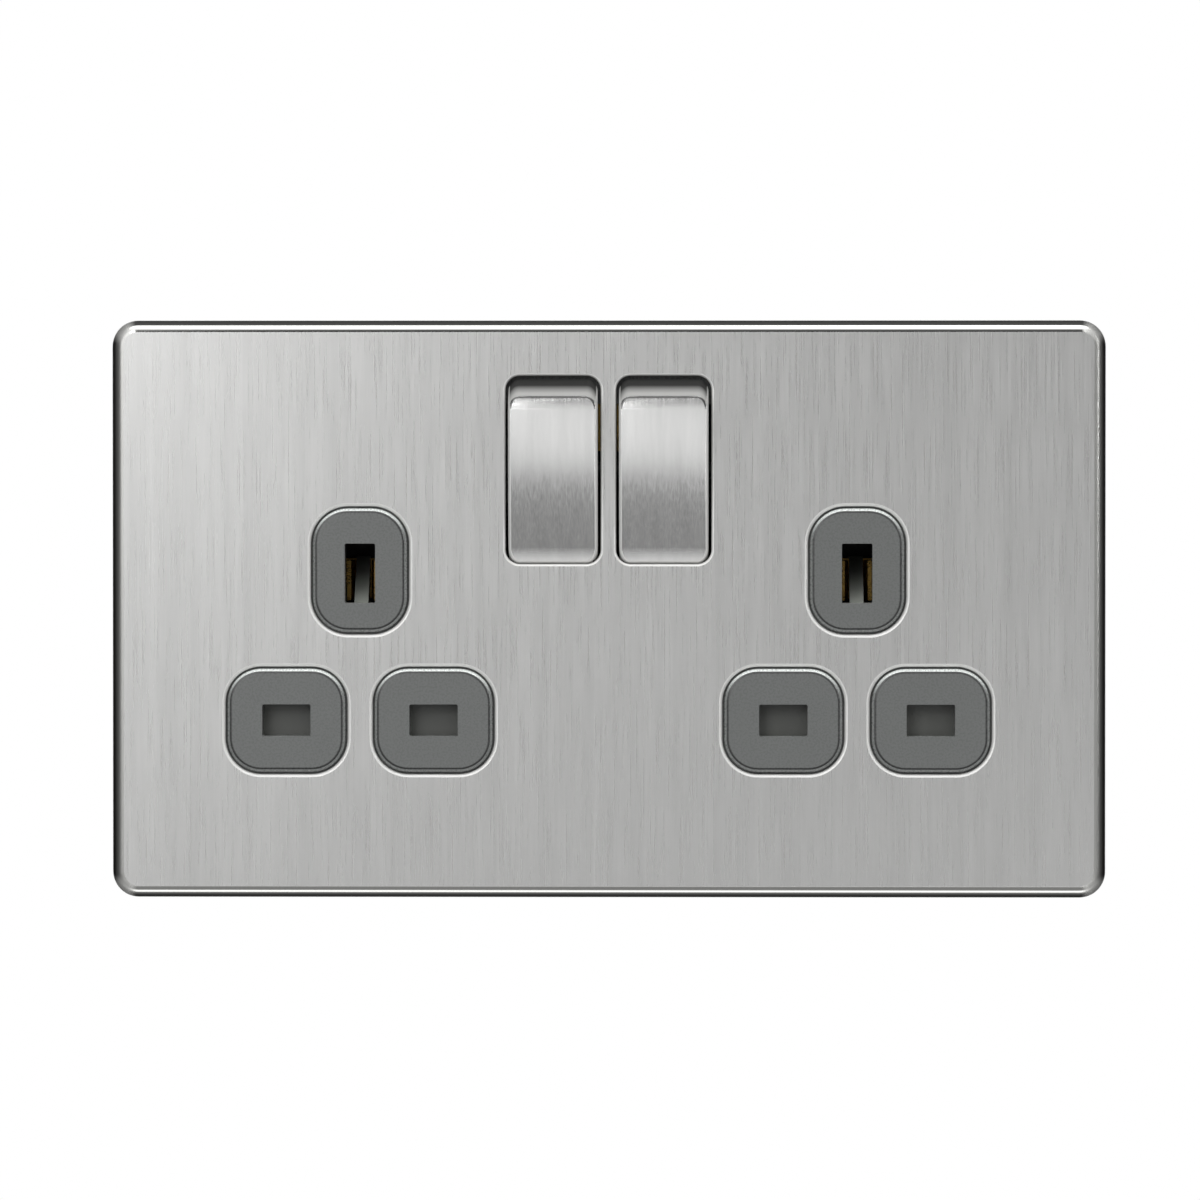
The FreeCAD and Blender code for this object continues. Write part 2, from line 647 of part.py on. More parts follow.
def end_corner(e):
    """True for the curved edges at the four corners of a rocker, before it is tilted."""
    b = e.BoundBox
    on_side = abs(abs(b.Center.x) - ROCKER_HALF_W) < 1e-3
    return on_side and b.ZLength < 6 and abs(b.Center.z) > 11 and b.YLength > 0.5


def rocker_core_block(back):
    face = ROCKER_FACE - CAP_T
    r = ROCKER_R - CAP_T
    half_l = math.sqrt(r * r - face * face)
    return rocker_profile(face, half_l, ROCKER_BULGE, ROCKER_HALF_W - CAP_T, back)


def rocker_core(x):
    back = ROCKER_BACK
    body = rocker_core_block(back)
    out = ROCKER_HALF_W - CAP_T
    inside = out - CHEEK_T
    body = body.cut(box(-inside, inside, back - 1.6, back + 1, -11.5, 11.5))
    for s in (-1, 1):
        lo, hi = sorted((s * inside, s * out))
        pts = [V(lo, back - 1.0, -5.5), V(lo, back - 1.0, 5.5), V(lo, 0.6, 2.3), V(lo, 0.6, -2.3)]
        cheek = Part.Face(Part.makePolygon(pts + [pts[0]])).extrude(V(hi - lo, 0, 0))
        cheek = cheek.fuse(rod_x(0, 0, CHEEK_R, lo, hi))
        body = body.fuse(cheek)
        lo, hi = sorted((s * (out - 0.5), s * TRUNNION_END))
        trunnion = rod_x(0, 0, TRUNNION_R, lo, hi)
        body = body.fuse(chamfer(trunnion, TRUNNION_EDGE, lambda e: at_x(s * TRUNNION_END)(e)))
    body = body.fuse(rod_y(0, 0, TUBE_R, back - 1.8, 3.2))
    body = body.cut(rod_y(0, 0, PLUNGER_R + PLUNGER_GAP, TUBE_FLOOR, 4))
    body.translate(V(x, PIVOT_Y, ROCKER_Z))
    return tilted(clean(body), x, TILT)


def plunger(x):
    """A pin with a round nose that rides on the rocking contact."""
    reach = (SEESAW_Y - PIVOT_Y - PLUNGER_R - SWITCH_GAP) / math.cos(math.radians(TILT))
    body = rod_y(0, 0, PLUNGER_R, PLUNGER_TOP, reach)
    body = chamfer(body, 0.3, at_y(PLUNGER_TOP))
    body = body.fuse(Part.makeSphere(PLUNGER_R, V(0, reach, 0)))
    body.translate(V(x, PIVOT_Y, ROCKER_Z))
    return tilted(clean(body), x, TILT)


def plunger_spring(x):
    r0, r1 = PLUNGER_SPRING_R
    body = rod_y(0, 0, r0, TUBE_FLOOR, PLUNGER_TOP).cut(rod_y(0, 0, r1, TUBE_FLOOR - 1, 0))
    body.translate(V(x, PIVOT_Y, ROCKER_Z))
    return tilted(body, x, TILT)


# Rocking contact: a shallow V strip, turned on the live bar's ridge
def seesaw_place(shape, x):
    shape.translate(V(x, SEESAW_Y, ROCKER_Z))
    shape.rotate(V(x, SEESAW_Y, ROCKER_Z), V(1, 0, 0), -TILT)
    return shape


def rocking_contact(x):
    c = math.cos(math.radians(TILT))
    s = math.sin(math.radians(TILT))
    t = SEESAW_T
    pts = [
        (-SEESAW_UP * s, SEESAW_UP * c),
        (0, 0),
        (-SEESAW_DOWN * s, -SEESAW_DOWN * c),
        (-SEESAW_DOWN * s + t * c, -SEESAW_DOWN * c - t * s),
        (t / c, 0),
        (-SEESAW_UP * s + t * c, SEESAW_UP * c + t * s),
    ]
    poly = [V(-SEESAW_W / 2, y, z) for y, z in pts]
    body = Part.Face(Part.makePolygon(poly + [poly[0]])).extrude(V(SEESAW_W, 0, 0))

    def tip_corner(e):
        b = e.BoundBox
        on_side = at_x(SEESAW_W / 2)(e) or at_x(-SEESAW_W / 2)(e)
        return on_side and (b.ZMin > SEESAW_UP * c - 0.6 or b.ZMax < -SEESAW_DOWN * c + 0.6)

    return seesaw_place(fillet(body, SEESAW_CORNER, tip_corner), x)


def moving_tip(x):
    tip = Part.makeCylinder(TIP_R, TIP_T, V(0, 0, 0), V(0, 1, 0))
    tip = chamfer(tip, TIP_EDGE, at_y(TIP_T))
    tip.rotate(V(0, 0, 0), V(1, 0, 0), TILT)
    c = math.cos(math.radians(TILT))
    s = math.sin(math.radians(TILT))
    tip.translate(V(0, -TIP_REACH * s + SEESAW_T * c, TIP_REACH * c + SEESAW_T * s))
    return seesaw_place(tip, x)


def fixed_tip(x):
    z = ROCKER_Z + TIP_REACH
    tip = rod_y(x, z, TIP_R, LINE_BAR_Y - TIP_T, LINE_BAR_Y)
    return chamfer(tip, TIP_EDGE, at_y(LINE_BAR_Y - TIP_T))


# Bars
def line_bar():
    x0, x1, _, _, z0, z1 = block_span(0)
    end = ROCKER_X + 2.85
    shelf = ROCKER_Z + 7.3
    pts = [(-end, shelf), (x0, shelf), (x0, z0), (x1, z0), (x1, shelf), (end, shelf), (end, z1), (-end, z1)]
    body = plate_xz(pts, LINE_BAR_Y, LINE_BAR_Y + BAR_T)
    x, z = terminals()[0][:2]
    return clean(body.cut(rod_y(x, z, CLAMP_R + 0.4, LINE_BAR_Y - 1, LINE_BAR_Y + 3)))


def live_bar(s):
    """From the rocking contact's ridge down and out to the live pin contact."""
    xf = s * ROCKER_X
    xl = s * OUTLET_X + PIN_SIDE
    b = BAR_HALF_W
    low = LIVE_Z - 2.8
    pts = [
        (xf - s * b, ROCKER_Z + 3.0),
        (xf + s * b, ROCKER_Z + 3.0),
        (xf + s * b, LIVE_Z + 13.8),
        (xl + s * b, LIVE_Z + 13.8),
        (xl + s * b, low),
        (xl - s * b, low),
        (xl - s * b, LIVE_Z + 9.8),
        (xf - s * b, LIVE_Z + 9.8),
    ]
    body = plate_xz(pts, LIVE_BAR_Y, LIVE_BAR_Y + BAR_T)
    ridge_top = SEESAW_Y + SEESAW_T + 0.1
    r = LIVE_BAR_Y - ridge_top
    ridge = rod_x(LIVE_BAR_Y, ROCKER_Z, r, xf - b, xf + b)
    ridge = ridge.common(box(xf - 3, xf + 3, 0, LIVE_BAR_Y, ROCKER_Z - 3, ROCKER_Z + 3))
    return clean(body.fuse(ridge))


def neutral_bar():
    xl = -OUTLET_X - PIN_SIDE
    xr = OUTLET_X - PIN_SIDE
    b = BAR_HALF_W
    x0, x1, _, _, low, _ = block_span(1)
    x, z = terminals()[1][:2]
    shelf = LIVE_Z - 4.8
    top = LIVE_Z + 2.8
    step = xl + 1.4
    pts = [
        (xl - b, top),
        (xl - b, shelf - 0.3),
        (step, shelf - 0.3),
        (step, z),
        (x0, z),
        (x0, low),
        (x1, low),
        (x1, z),
        (xr + b, z),
        (xr + b, top),
        (xr - b, top),
        (xr - b, shelf),
        (xl + b, shelf),
        (xl + b, top),
    ]
    body = plate_xz(pts, LIVE_BAR_Y, LIVE_BAR_Y + BAR_T)
    return clean(body.cut(rod_y(x, z, CLAMP_R + 0.4, LIVE_BAR_Y - 1, LIVE_BAR_Y + 3)))


def earth_bar():
    """A bar across both outlets, with a leg up to each earth terminal and a foot under each strap."""
    inner = EARTH_TERMINAL_X - 3.5
    outer = EARTH_TERMINAL_X + 3.5
    top = EARTH_Z + 2.0
    leg = ROCKER_Z + 6.8
    foot = -STRAP_HALF_W - 0.1
    end = OUTLET_X + 8.0

    def half(s):
        pts = [
            (0, top),
            (s * inner, top),
            (s * inner, leg),
            (s * outer, leg),
            (s * outer, top),
            (s * end, top),
            (s * end, foot),
            (s * (end - 4.0), foot),
            (s * (end - 4.0), EARTH_Z - 2.0),
            (0, EARTH_Z - 2.0),
        ]
        return plate_xz(pts, EARTH_BAR_Y, EARTH_BAR_Y + BAR_T)

    body = half(1).fuse(half(-1))
    for x, z, _, _ in terminals()[2:]:
        body = body.cut(rod_y(x, z, CLAMP_R + 0.4, EARTH_BAR_Y - 1, EARTH_BAR_Y + 3))
    return clean(body)


def earth_strap(s):
    """A thin strap from the fixing eyelet, past the housing wall, back to the earth bar."""
    t = STRAP_T
    y_eye = FIXING_SEAT - t / 2
    wall_x = HOUSING_X - WALL - 0.35
    out_x = HOUSING_X + 1.3
    path = [
        (s * (FIXING_X - 1.0), y_eye),
        (s * out_x, y_eye),
        (s * out_x, -0.3),
        (s * wall_x, -0.3),
        (s * wall_x, EARTH_BAR_Y - t / 2),
        (s * (OUTLET_X + 4.5), EARTH_BAR_Y - t / 2),
    ]
    w = STRAP_HALF_W
    body = strip(path, t, 0.45, lambda u, v: V(u, v, -w), V(0, 0, 2 * w))
    eye = rod_y(s * FIXING_X, 0, EYELET_R, y_eye - t / 2, y_eye + t / 2)
    body = body.fuse(eye).cut(rod_y(s * FIXING_X, 0, FIXING_R + 0.4, -9, 9))
    return clean(body)


# Pin contacts: sprung leaf pairs folded from one strip
def pin_contact(x):
    half = [(2.8, 3.0), (5.2, 1.95), (7.6, 2.3), (LIVE_BAR_Y - LEAF_T / 2, 2.6)]
    path = half + [(y, -z) for y, z in reversed(half)]
    path = [(y, z + LIVE_Z) for y, z in path]
    x0 = x - PIN_LEAF_W / 2
    return clean(strip(path, LEAF_T, 0.6, lambda u, v: V(x0, u, v), V(PIN_LEAF_W, 0, 0)))


def earth_contact(x):
    half = [(2.05, 2.8), (1.4, 8.6), (1.9, 11.0), (2.5, EARTH_BAR_Y - LEAF_T / 2)]
    path = half + [(-u, v) for u, v in reversed(half)]
    path = [(u + x, v) for u, v in path]
    z0, z1 = EARTH_LEAF_Z
    return clean(strip(path, LEAF_T, 0.6, lambda u, v: V(u, v, z0), V(0, 0, z1 - z0)))


# Terminal blocks and their clamping screws
def block_span(i):
    x, z, y, _ = terminals()[i]
    bar = (LINE_BAR_Y, LIVE_BAR_Y, EARTH_BAR_Y, EARTH_BAR_Y)[i]
    low, high = ((3.1, 4.8), (3.8, 3.4), (4.0, 4.0), (4.0, 4.0))[i]
    return (x - BLOCK_HALF, x + BLOCK_HALF, y - BLOCK_FRONT, bar, z - low, z + high)


def terminal_block(i):
    x, z, y, _ = terminals()[i]
    x0, x1, y0, y1, z0, z1 = block_span(i)
    body = box(x0, x1, y0, y1, z0, z1)
    body = chamfer(body, BLOCK_EDGE, lambda e: e.BoundBox.YLength > 1)
    body = body.cut(rod_z(x, y, WIRE_R, z0 - 1, z1 + 1))
    body = body.cut(rod_y(x, z, CLAMP_R + CLAMP_GAP, y, y1 + 1))
    return clean(body)


def clamp_screw(i):
    """A grub screw with a driver slot, backed out so that the wire bore is free."""
    x, z, y, _ = terminals()[i]
    y0 = y + WIRE_R + 0.1
    y1 = y0 + CLAMP_LENGTH
    body = rod_y(x, z, CLAMP_R, y0, y1)
    body = chamfer(body, CLAMP_EDGE, lambda e: at_y(y0)(e) or at_y(y1)(e))
    width, depth = CLAMP_SLOT
    body = body.cut(box(x - 3, x + 3, y1 - depth, y1 + 1, z - width / 2, z + width / 2))
    return clean(body)


# Shutters
def shutter(x):
    y0, y1 = SHUTTER_Y
    z0, z1 = SHUTTER_BAR
    body = rounded_span(-SHUTTER_HALF_W, SHUTTER_HALF_W, z0, z1, 0.6, y0, y1)
    body = body.fuse(rounded_span(-NECK_HALF_W, NECK_HALF_W, z1 - 1.5, NECK_TOP, 0.5, y0, y1))
    pts = [
        (y0, TONGUE_FOOT - 2.4),
        (y0, NECK_TOP),
        (TONGUE_BACK - 0.6, TONGUE_TOP),
        (TONGUE_BACK, TONGUE_TOP),
        (TONGUE_BACK, TONGUE_TOP - 2.3),
        (y1, TONGUE_FOOT),
        (y1, TONGUE_FOOT - 2.4),
    ]
    poly = [V(-TONGUE_HALF_W, y, z) for y, z in pts]
    rib = Part.Face(Part.makePolygon(poly + [poly[0]])).extrude(V(2 * TONGUE_HALF_W, 0, 0))
    body = body.fuse(rib)
    body = body.cut(box(-SPRING_SLOT, SPRING_SLOT, y0 - 1, y1 + 1, z0 - 1, SPRING_TOP))
    body.translate(V(x, 0, 0))
    return clean(body)


def shutter_spring(x):
    y = sum(SHUTTER_Y) / 2
    low = HOUSING_Z0 + WALL
    coil = rod_z(x, y, SPRING_R, low, SPRING_TOP)
    return coil.cut(rod_z(x, y, SPRING_R - SPRING_WIRE, low - 1, 0))


def shutter_guide(x):
    """A thin plate behind the shutter, with clearance holes for the pins and the ramp."""
    y0, y1 = GUIDE_Y
    half = SHUTTER_HALF_W + SHUTTER_GAP + 0.6
    body = rounded_span(-half, half, LIVE_Z - 6.0, GUIDE_TOP, 1.0, y0, y1)
    low = TONGUE_FOOT - SHUTTER_TRAVEL - 0.3
    through = (0.8, y0 - 1, y1 + 1)
    body = body.cut(rounded_span(-GUIDE_SLOT, GUIDE_SLOT, low, EARTH_Z + 5.0, *through))
    for p in (-1, 1):
        body = body.cut(rounded(p * PIN_SIDE, LIVE_Z, *GUIDE_PIN_HOLE, *through))
    outer = 1 if x > 0 else -1
    body = body.cut(side_box(outer, half - 1.6, half + 1, y0 - 1, y1 + 1, -3.2, 3.2))
    body.translate(V(x, 0, 0))
    return clean(body)


def build():
    out = {
        "front_plate": front_plate(),
        "mounting_frame": mounting_frame(),
        "housing_front": housing_front(),
        "housing_rear": housing_rear(),
        "line_bar": line_bar(),
        "neutral_bar": neutral_bar(),
        "earth_bar": earth_bar(),
    }
    for name, s in (("left", -1), ("right", 1)):
        xr = s * ROCKER_X
        xo = s * OUTLET_X
        out[f"rocker_cap_{name}"] = rocker_cap(xr)
        out[f"rocker_core_{name}"] = rocker_core(xr)
        out[f"plunger_{name}"] = plunger(xr)
        out[f"plunger_spring_{name}"] = plunger_spring(xr)
        out[f"rocking_contact_{name}"] = rocking_contact(xr)
        out[f"moving_tip_{name}"] = moving_tip(xr)
        out[f"fixed_tip_{name}"] = fixed_tip(xr)
        out[f"live_bar_{name}"] = live_bar(s)
        out[f"live_contact_{name}"] = pin_contact(xo + PIN_SIDE)
        out[f"neutral_contact_{name}"] = pin_contact(xo - PIN_SIDE)
        out[f"earth_contact_{name}"] = earth_contact(xo)
        out[f"earth_strap_{name}"] = earth_strap(s)
        out[f"shutter_{name}"] = shutter(xo)
        out[f"shutter_spring_{name}"] = shutter_spring(xo)
        out[f"shutter_guide_{name}"] = shutter_guide(xo)
    for name, (x, z) in zip(("top_left", "top_right", "bottom_left", "bottom_right"), SCREW_POSTS):
        out[f"housing_screw_{name}"] = housing_screw(x, z)
    for i, name in enumerate(("line", "neutral", "earth_left", "earth_right")):
        out[f"terminal_block_{name}"] = terminal_block(i)
        out[f"clamp_screw_{name}"] = clamp_screw(i)
    return out


os.makedirs("parts", exist_ok=True)
for node, shape in build().items():
    if len(shape.Solids) != 1 or not shape.isValid():
        raise ValueError(f"{node}: {len(shape.Solids)} solids, valid {shape.isValid()}")
    solid = shape.Solids[0]
    solid.exportStep(f"parts/{node}.step")
    b = solid.BoundBox
    print(f"{node}: volume {solid.Volume:.1f}, y {b.YMin:.2f} to {b.YMax:.2f}")
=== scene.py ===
import math

import bmesh
import bpy
from bpy.props import FloatProperty, FloatVectorProperty, IntProperty, PointerProperty
from mathutils import Matrix, Vector


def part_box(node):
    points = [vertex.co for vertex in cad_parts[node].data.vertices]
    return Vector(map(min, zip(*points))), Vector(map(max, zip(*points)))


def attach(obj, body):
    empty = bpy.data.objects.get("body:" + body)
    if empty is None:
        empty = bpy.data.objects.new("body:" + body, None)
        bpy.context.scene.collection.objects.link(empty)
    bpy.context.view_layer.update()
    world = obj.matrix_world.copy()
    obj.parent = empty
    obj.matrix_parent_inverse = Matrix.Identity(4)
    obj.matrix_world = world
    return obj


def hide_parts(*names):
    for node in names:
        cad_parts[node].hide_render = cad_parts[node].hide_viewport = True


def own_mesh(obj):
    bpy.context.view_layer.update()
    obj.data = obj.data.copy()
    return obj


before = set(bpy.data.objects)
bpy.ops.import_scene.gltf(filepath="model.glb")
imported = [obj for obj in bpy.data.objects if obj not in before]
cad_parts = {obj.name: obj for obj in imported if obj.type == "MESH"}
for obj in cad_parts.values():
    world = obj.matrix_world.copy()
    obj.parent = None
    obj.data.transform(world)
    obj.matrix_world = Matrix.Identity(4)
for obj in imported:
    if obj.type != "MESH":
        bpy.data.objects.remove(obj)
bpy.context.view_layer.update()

bl_info = {
    "name": "Twin Wall Socket Looks",
    "version": (1, 0, 0),
    "blender": (4, 5, 0),
    "location": "View3D > Sidebar > Socket",
    "description": "Dresses the packed twin switched wall socket and sets its studio",
    "category": "Object",
}

MM = 0.001
SIDES = (("left", -1), ("right", 1))

# The plate as packed, then the places of the windows and of the rockers' pivots, in metres
PLATE_LO, PLATE_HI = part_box("front_plate")
PLATE_FACE = PLATE_LO.y
PIVOT_Y = 3.4 * MM
EARTH_WINDOW_Z = 5.85 * MM
LIVE_Z = -16.8 * MM
ROCKER_X = 8.35 * MM
ROCKER_Z = 21.0 * MM
TILT = math.radians(8.0)

# Distances at which points are merged, and under which they are in one place or one plane
WELD = 2e-6
SAME_PLACE = 1e-7
# How far the Y of a normal may be from 1 on a face that looks straight ahead or back
STRAIGHT = 1e-5
# Width of the plate's border, which belongs to its rolled edge and not to a window
BORDER = 3.0 * MM
# Segments round the roll of the plate's outside, of its inside and of a window
OUTER_TURNS = 10
INNER_TURNS = 6
WINDOW_TURNS = 7
# Angles past which an edge stays sharp, on the plate and springs, the caps and the front moulding
SHARP = math.radians(40)
SHARP_CAP = math.radians(28)
SHARP_MOULDING = math.radians(35)
# Degrees off a cap's front where its face ends, where its upper lip ends and where its lower end begins
FACE_LEAN = 9
LIP_LEAN = 44
END_LEAN = 60
# The least rise of a cap's upper faces, as a share of their sideways slope
UPPER_RISE = 0.5

# Shutter springs: radius of the wire and turns
SHUTTER_WIRE = 0.17 * MM
SHUTTER_TURNS = 9.5
# Plunger springs: radius of the wire and of the coil, length, turns, and where along the tube they start,
# from the pivot
PLUNGER_WIRE = 0.2 * MM
PLUNGER_COIL = 1.55 * MM
PLUNGER_LENGTH = 4.5 * MM
PLUNGER_TURNS = 4.5
PLUNGER_START = -6.5 * MM
# Segments in each turn of a coil
COIL_STEPS = 20

# The sockets of a Map Range node, in the order that the spans below are written in
RANGE = ("From Min", "From Max", "To Min", "To Max")
# Most of a noise lies between these two values, and most of the sum of two noises between the next two
NOISE = (0.3, 0.7)
TWO_NOISES = (0.7, 1.3)
# At scale 1 a wave texture has a crest in every 0.314 units
WAVE_CREST = 0.314
# Depths along Y where the painted shade on a rocker's end begins and is full, and the share of light at
# each
END_PAINTED_SHADE = (-8.1 * MM, -6.75 * MM, 0.85, 0.04)
# For each way that the rolled edge looks, from 0, down, past 0.5, sideways, to 1, up: its polish,
# the share of its colour, its share of metal, and the least tone of the painted dark line beside the face,
# which is painted shade
EDGE_POLISH = ((0.0, 1.0), (0.035, 1.0), (0.2, 0.0), (0.8, 0.0), (0.965, 1.0), (1.0, 1.0))
EDGE_TONE = (
    (0.0, 1.0), (0.04, 1.0), (0.2, 0.60), (0.42, 0.45), (0.58, 0.45), (0.8, 0.62), (0.96, 1.0), (1.0, 1.0),
)
EDGE_METAL = (
    (0.0, 1.0), (0.04, 1.0), (0.15, 0.35), (0.33, 0.35), (0.45, 1.0), (0.55, 1.0), (0.67, 0.35),
    (0.85, 0.35), (0.96, 1.0), (1.0, 1.0),
)
EDGE_PAINTED_LINE_LEAST = ((0.0, 0.9), (0.04, 0.9), (0.1, 1.0), (0.9, 1.0), (0.96, 0.08), (1.0, 0.08))
# Cosine between the rolled edge and straight ahead, and the tone of the painted dark line, which is
# painted shade
EDGE_PAINTED_LINE = ((0.0, 1.0), (0.965, 1.0), (0.985, 0.08), (1.0, 0.08))
# No polish and full polish of the rolled edge, and the roughness at each
EDGE_ROUGH = (0.0, 1.0, 0.32, 0.12)
# Heights along Z where a shutter's painted light starts and ends, and its tone, as a share of the gain
# below
PAINTED_LIGHT_SPAN = (-4.0 * MM, 8.0 * MM)
PAINTED_LIGHT_GAIN = 3.8
PAINTED_LIGHT_LEVELS = ((0.0, 0.21), (0.35, 1.0), (0.50, 0.75), (0.80, 0.16), (1.0, 0.16))
# The rim's upward slope where its painted highlight starts and is full, and the tone at each
RIM_PAINTED_TOP = (0.20, 0.60, 1.0, 3.4)
# Cosine between a surface and straight ahead, and its level: painted shade where the face meets the rim, a
# painted highlight on the rim, and 1 / RIM_GAIN for a plain face
RIM_GAIN = 4.0
RIM_LEVELS = (
    (0.0, 0.25), (0.30, 0.60), (0.84, 0.60), (0.91, 0.05), (0.9945, 0.05), (0.999, 0.25), (1.0, 0.25),
)
# Levels of the rim where its gleam starts and is full, and the share of metal at each
RIM_GLEAM = (0.3, 0.6, 0.0, 0.45)
# Heights along Z where a rocker's painted lower-lip highlight is full and where it ends, and the share of
# metal at each
LOWER_LIP_HIGHLIGHT = (7.3 * MM, 9.3 * MM, 0.25, 1.0)
# How dark the thin lip along a rocker's top edge is painted next to its face: painted shade
LIP_PAINTED_SHADE = 0.13

# Brightness of the surround by height angle in degrees: 0 is towards the camera and 90 is overhead
HEIGHT_BANDS = (
    (-180, 0.03), (-100, 0.04), (-80, 0.15), (-68, 0.35), (-63, 1.6), (-48, 1.6), (-43, 0.30),
    (-16, 0.28), (-13, 0.95), (-1, 0.95), (2, 0.20), (12, 0.20), (15, 1.7), (64, 1.7), (72, 0.10),
    (180, 0.04),
)
# How far to the side that brightness starts to fade and is lowest, and what is left of it at each
SIDE_FADE = (0.25, 1.0, 1.0, 0.12)
# Cosine between straight behind the object and the edge of the white backdrop
BACKDROP_EDGE = 0.87
# Half the floor's side and its height, in metres
FLOOR_REACH = 1.0
FLOOR_Z = -0.30
# The share of the floor that is lit for the camera alone
FLOOR_GLOW = 0.6
# Distances from the middle where the floor starts to fade and is gone, and how clear it is at each
FLOOR_FADE = (0.15, 0.80, 0.0, 1.0)
# Name, place, width, height and power in watts
LAMPS = (
    ("key", (-0.36, -0.95, 0.24), 0.40, 0.40, 2.3),
    ("overhead", (0.0, -0.50, 0.70), 0.90, 0.22, 1.5),
    ("right_strip", (0.42, -0.40, 0.12), 0.02, 0.22, 0.35),
    ("low_right", (0.30, -0.95, -0.22), 0.15, 0.15, 0.15),
)
# The place that every lamp looks at
LAMP_AIM = Vector((0, -5 * MM, 0))
WHITE = (1, 1, 1, 1)
# Side of the picture, and the place in it of the frame's origin, from its left and top, in pixels
IMAGE = 1200.0
ORIGIN_PX = (608.4, 609.2)
# Width of the camera's sensor in millimetres, and the nearest and farthest that it sees, in metres
SENSOR = 36.0
CLIP = (0.05, 20.0)


def linear(code):
    """Turns an sRGB hex value into the linear colour that a shader takes."""
    out = []
    for i in (0, 2, 4):
        v = int(code[i:i + 2], 16) / 255
        out.append(v / 12.92 if v <= 0.04045 else ((v + 0.055) / 1.055) ** 2.4)
    return (*out, 1.0)


# Properties
class SocketSizes(bpy.types.PropertyGroup):
    """Sizes of the pieces that this file builds itself."""

    outlet_x: FloatProperty(
        name="Outlet offset", description="From the middle to each earth pin",
        default=37.5 * MM, unit="LENGTH", subtype="DISTANCE")
    pin_side: FloatProperty(
        name="Pin offset", description="From the earth pin to the live or neutral pin, sideways",
        default=11.115 * MM, unit="LENGTH", subtype="DISTANCE")
    plate_corner: FloatProperty(
        name="Plate corner", description="Radius of the plate's outline at its corners",
        default=4.0 * MM, unit="LENGTH", subtype="DISTANCE")
    plate_roll: FloatProperty(
        name="Plate roll", description="Radius of the rolled front edge",
        default=1.8 * MM, unit="LENGTH", subtype="DISTANCE")
    plate_sheet: FloatProperty(
        name="Sheet", description="Thickness of the plate's sheet metal",
        default=1.0 * MM, unit="LENGTH", subtype="DISTANCE")
    earth_window: FloatVectorProperty(
        name="Earth window", description="Width, height and corner radius of an earth window", size=3,
        default=(14.8 * MM, 19.3 * MM, 5.6 * MM), unit="LENGTH")
    live_window: FloatVectorProperty(
        name="Live window", description="Width, height and corner radius of a live or neutral window",
        size=3, default=(18.4 * MM, 16.2 * MM, 5.4 * MM), unit="LENGTH")
    switch_window: FloatVectorProperty(
        name="Switch window", description="Width, height and corner radius of a rocker window", size=3,
        default=(14.4 * MM, 28.4 * MM, 2.2 * MM), unit="LENGTH")
    switch_relief: FloatProperty(
        name="Relief", description="Bevel on the back edge of a rocker window",
        default=0.4 * MM, unit="LENGTH", subtype="DISTANCE")
    window_roll: FloatProperty(
        name="Window roll", description="Radius of the front edge of a pin window",
        default=0.5 * MM, unit="LENGTH", subtype="DISTANCE")
    switch_roll: FloatProperty(
        name="Switch window roll", description="Radius of the front edge of a rocker window",
        default=0.35 * MM, unit="LENGTH", subtype="DISTANCE")
    corner_steps: IntProperty(
        name="Corner steps", description="Segments in each rounded corner", default=14, min=4, max=40)
    wire_steps: IntProperty(
        name="Wire steps", description="Segments round a spring's wire", default=10, min=6, max=24)


class SocketColours(bpy.types.PropertyGroup):
    """Colours a user would change."""

    steel: FloatVectorProperty(
        name="Steel", description="Brushed stainless plate", subtype="COLOR", size=3,
        default=linear("B5B5B4")[:3], min=0, max=1)
    rocker: FloatVectorProperty(
        name="Rocker", description="Brushed stainless rocker caps", subtype="COLOR", size=3,
        default=linear("DFDFDE")[:3], min=0, max=1)
    insert: FloatVectorProperty(
        name="Insert", description="Grey moulded inserts", subtype="COLOR", size=3,
        default=linear("5E605F")[:3], min=0, max=1)


class SocketStudio(bpy.types.PropertyGroup):
    """Camera: its distance, angles and scale."""

    distance: FloatProperty(
        name="Distance", description="From the plate to the camera",
        default=1.1, unit="LENGTH", subtype="DISTANCE")
    azimuth: FloatProperty(
        name="Azimuth", description="Camera angle to the right of straight on",
        default=math.radians(1.0), unit="ROTATION", subtype="ANGLE")
    elevation: FloatProperty(
        name="Elevation", description="Camera angle above straight on",
        default=math.radians(1.0), unit="ROTATION", subtype="ANGLE")
    pixels_per_mm: FloatProperty(
        name="Scale", description="Picture pixels to a millimetre at the plate's face", default=6.63)


def sizes():
    """The sizes as they are set in the panel."""
    return bpy.context.scene.socket_sizes


# Node helpers
def add(tree, kind, sockets=None, stops=(), **settings):
    """Adds a node, sets its properties, and sets or links its sockets. A colour ramp also gets its stops:
    pairs of place, from 0 to 1, and grey level."""
    node = tree.nodes.new(kind)
    for key, value in settings.items():
        setattr(node, key, value)
    for key, value in (sockets or {}).items():
        if isinstance(value, bpy.types.NodeSocket):
            tree.links.new(value, node.inputs[key])
        else:
            node.inputs[key].default_value = value
    for i, (place, level) in enumerate(stops):
        marks = node.color_ramp.elements
        mark = marks[i] if i < 2 else marks.new(place)
        mark.position = place
        mark.color = (level, level, level, 1)
    return node


def material(name, **shader):
    """A new material with one principled shader, whose plain values are set on its own sockets."""
    mat = bpy.data.materials.new(name)
    mat.use_nodes = True
    tree = mat.node_tree
    tree.nodes.clear()
    out = add(tree, "ShaderNodeOutputMaterial")
    bsdf = add(tree, "ShaderNodeBsdfPrincipled")
    for key, value in shader.items():
        bsdf.inputs[key.replace("_", " ")].default_value = value
    tree.links.new(bsdf.outputs[0], out.inputs[0])
    return mat, tree, bsdf


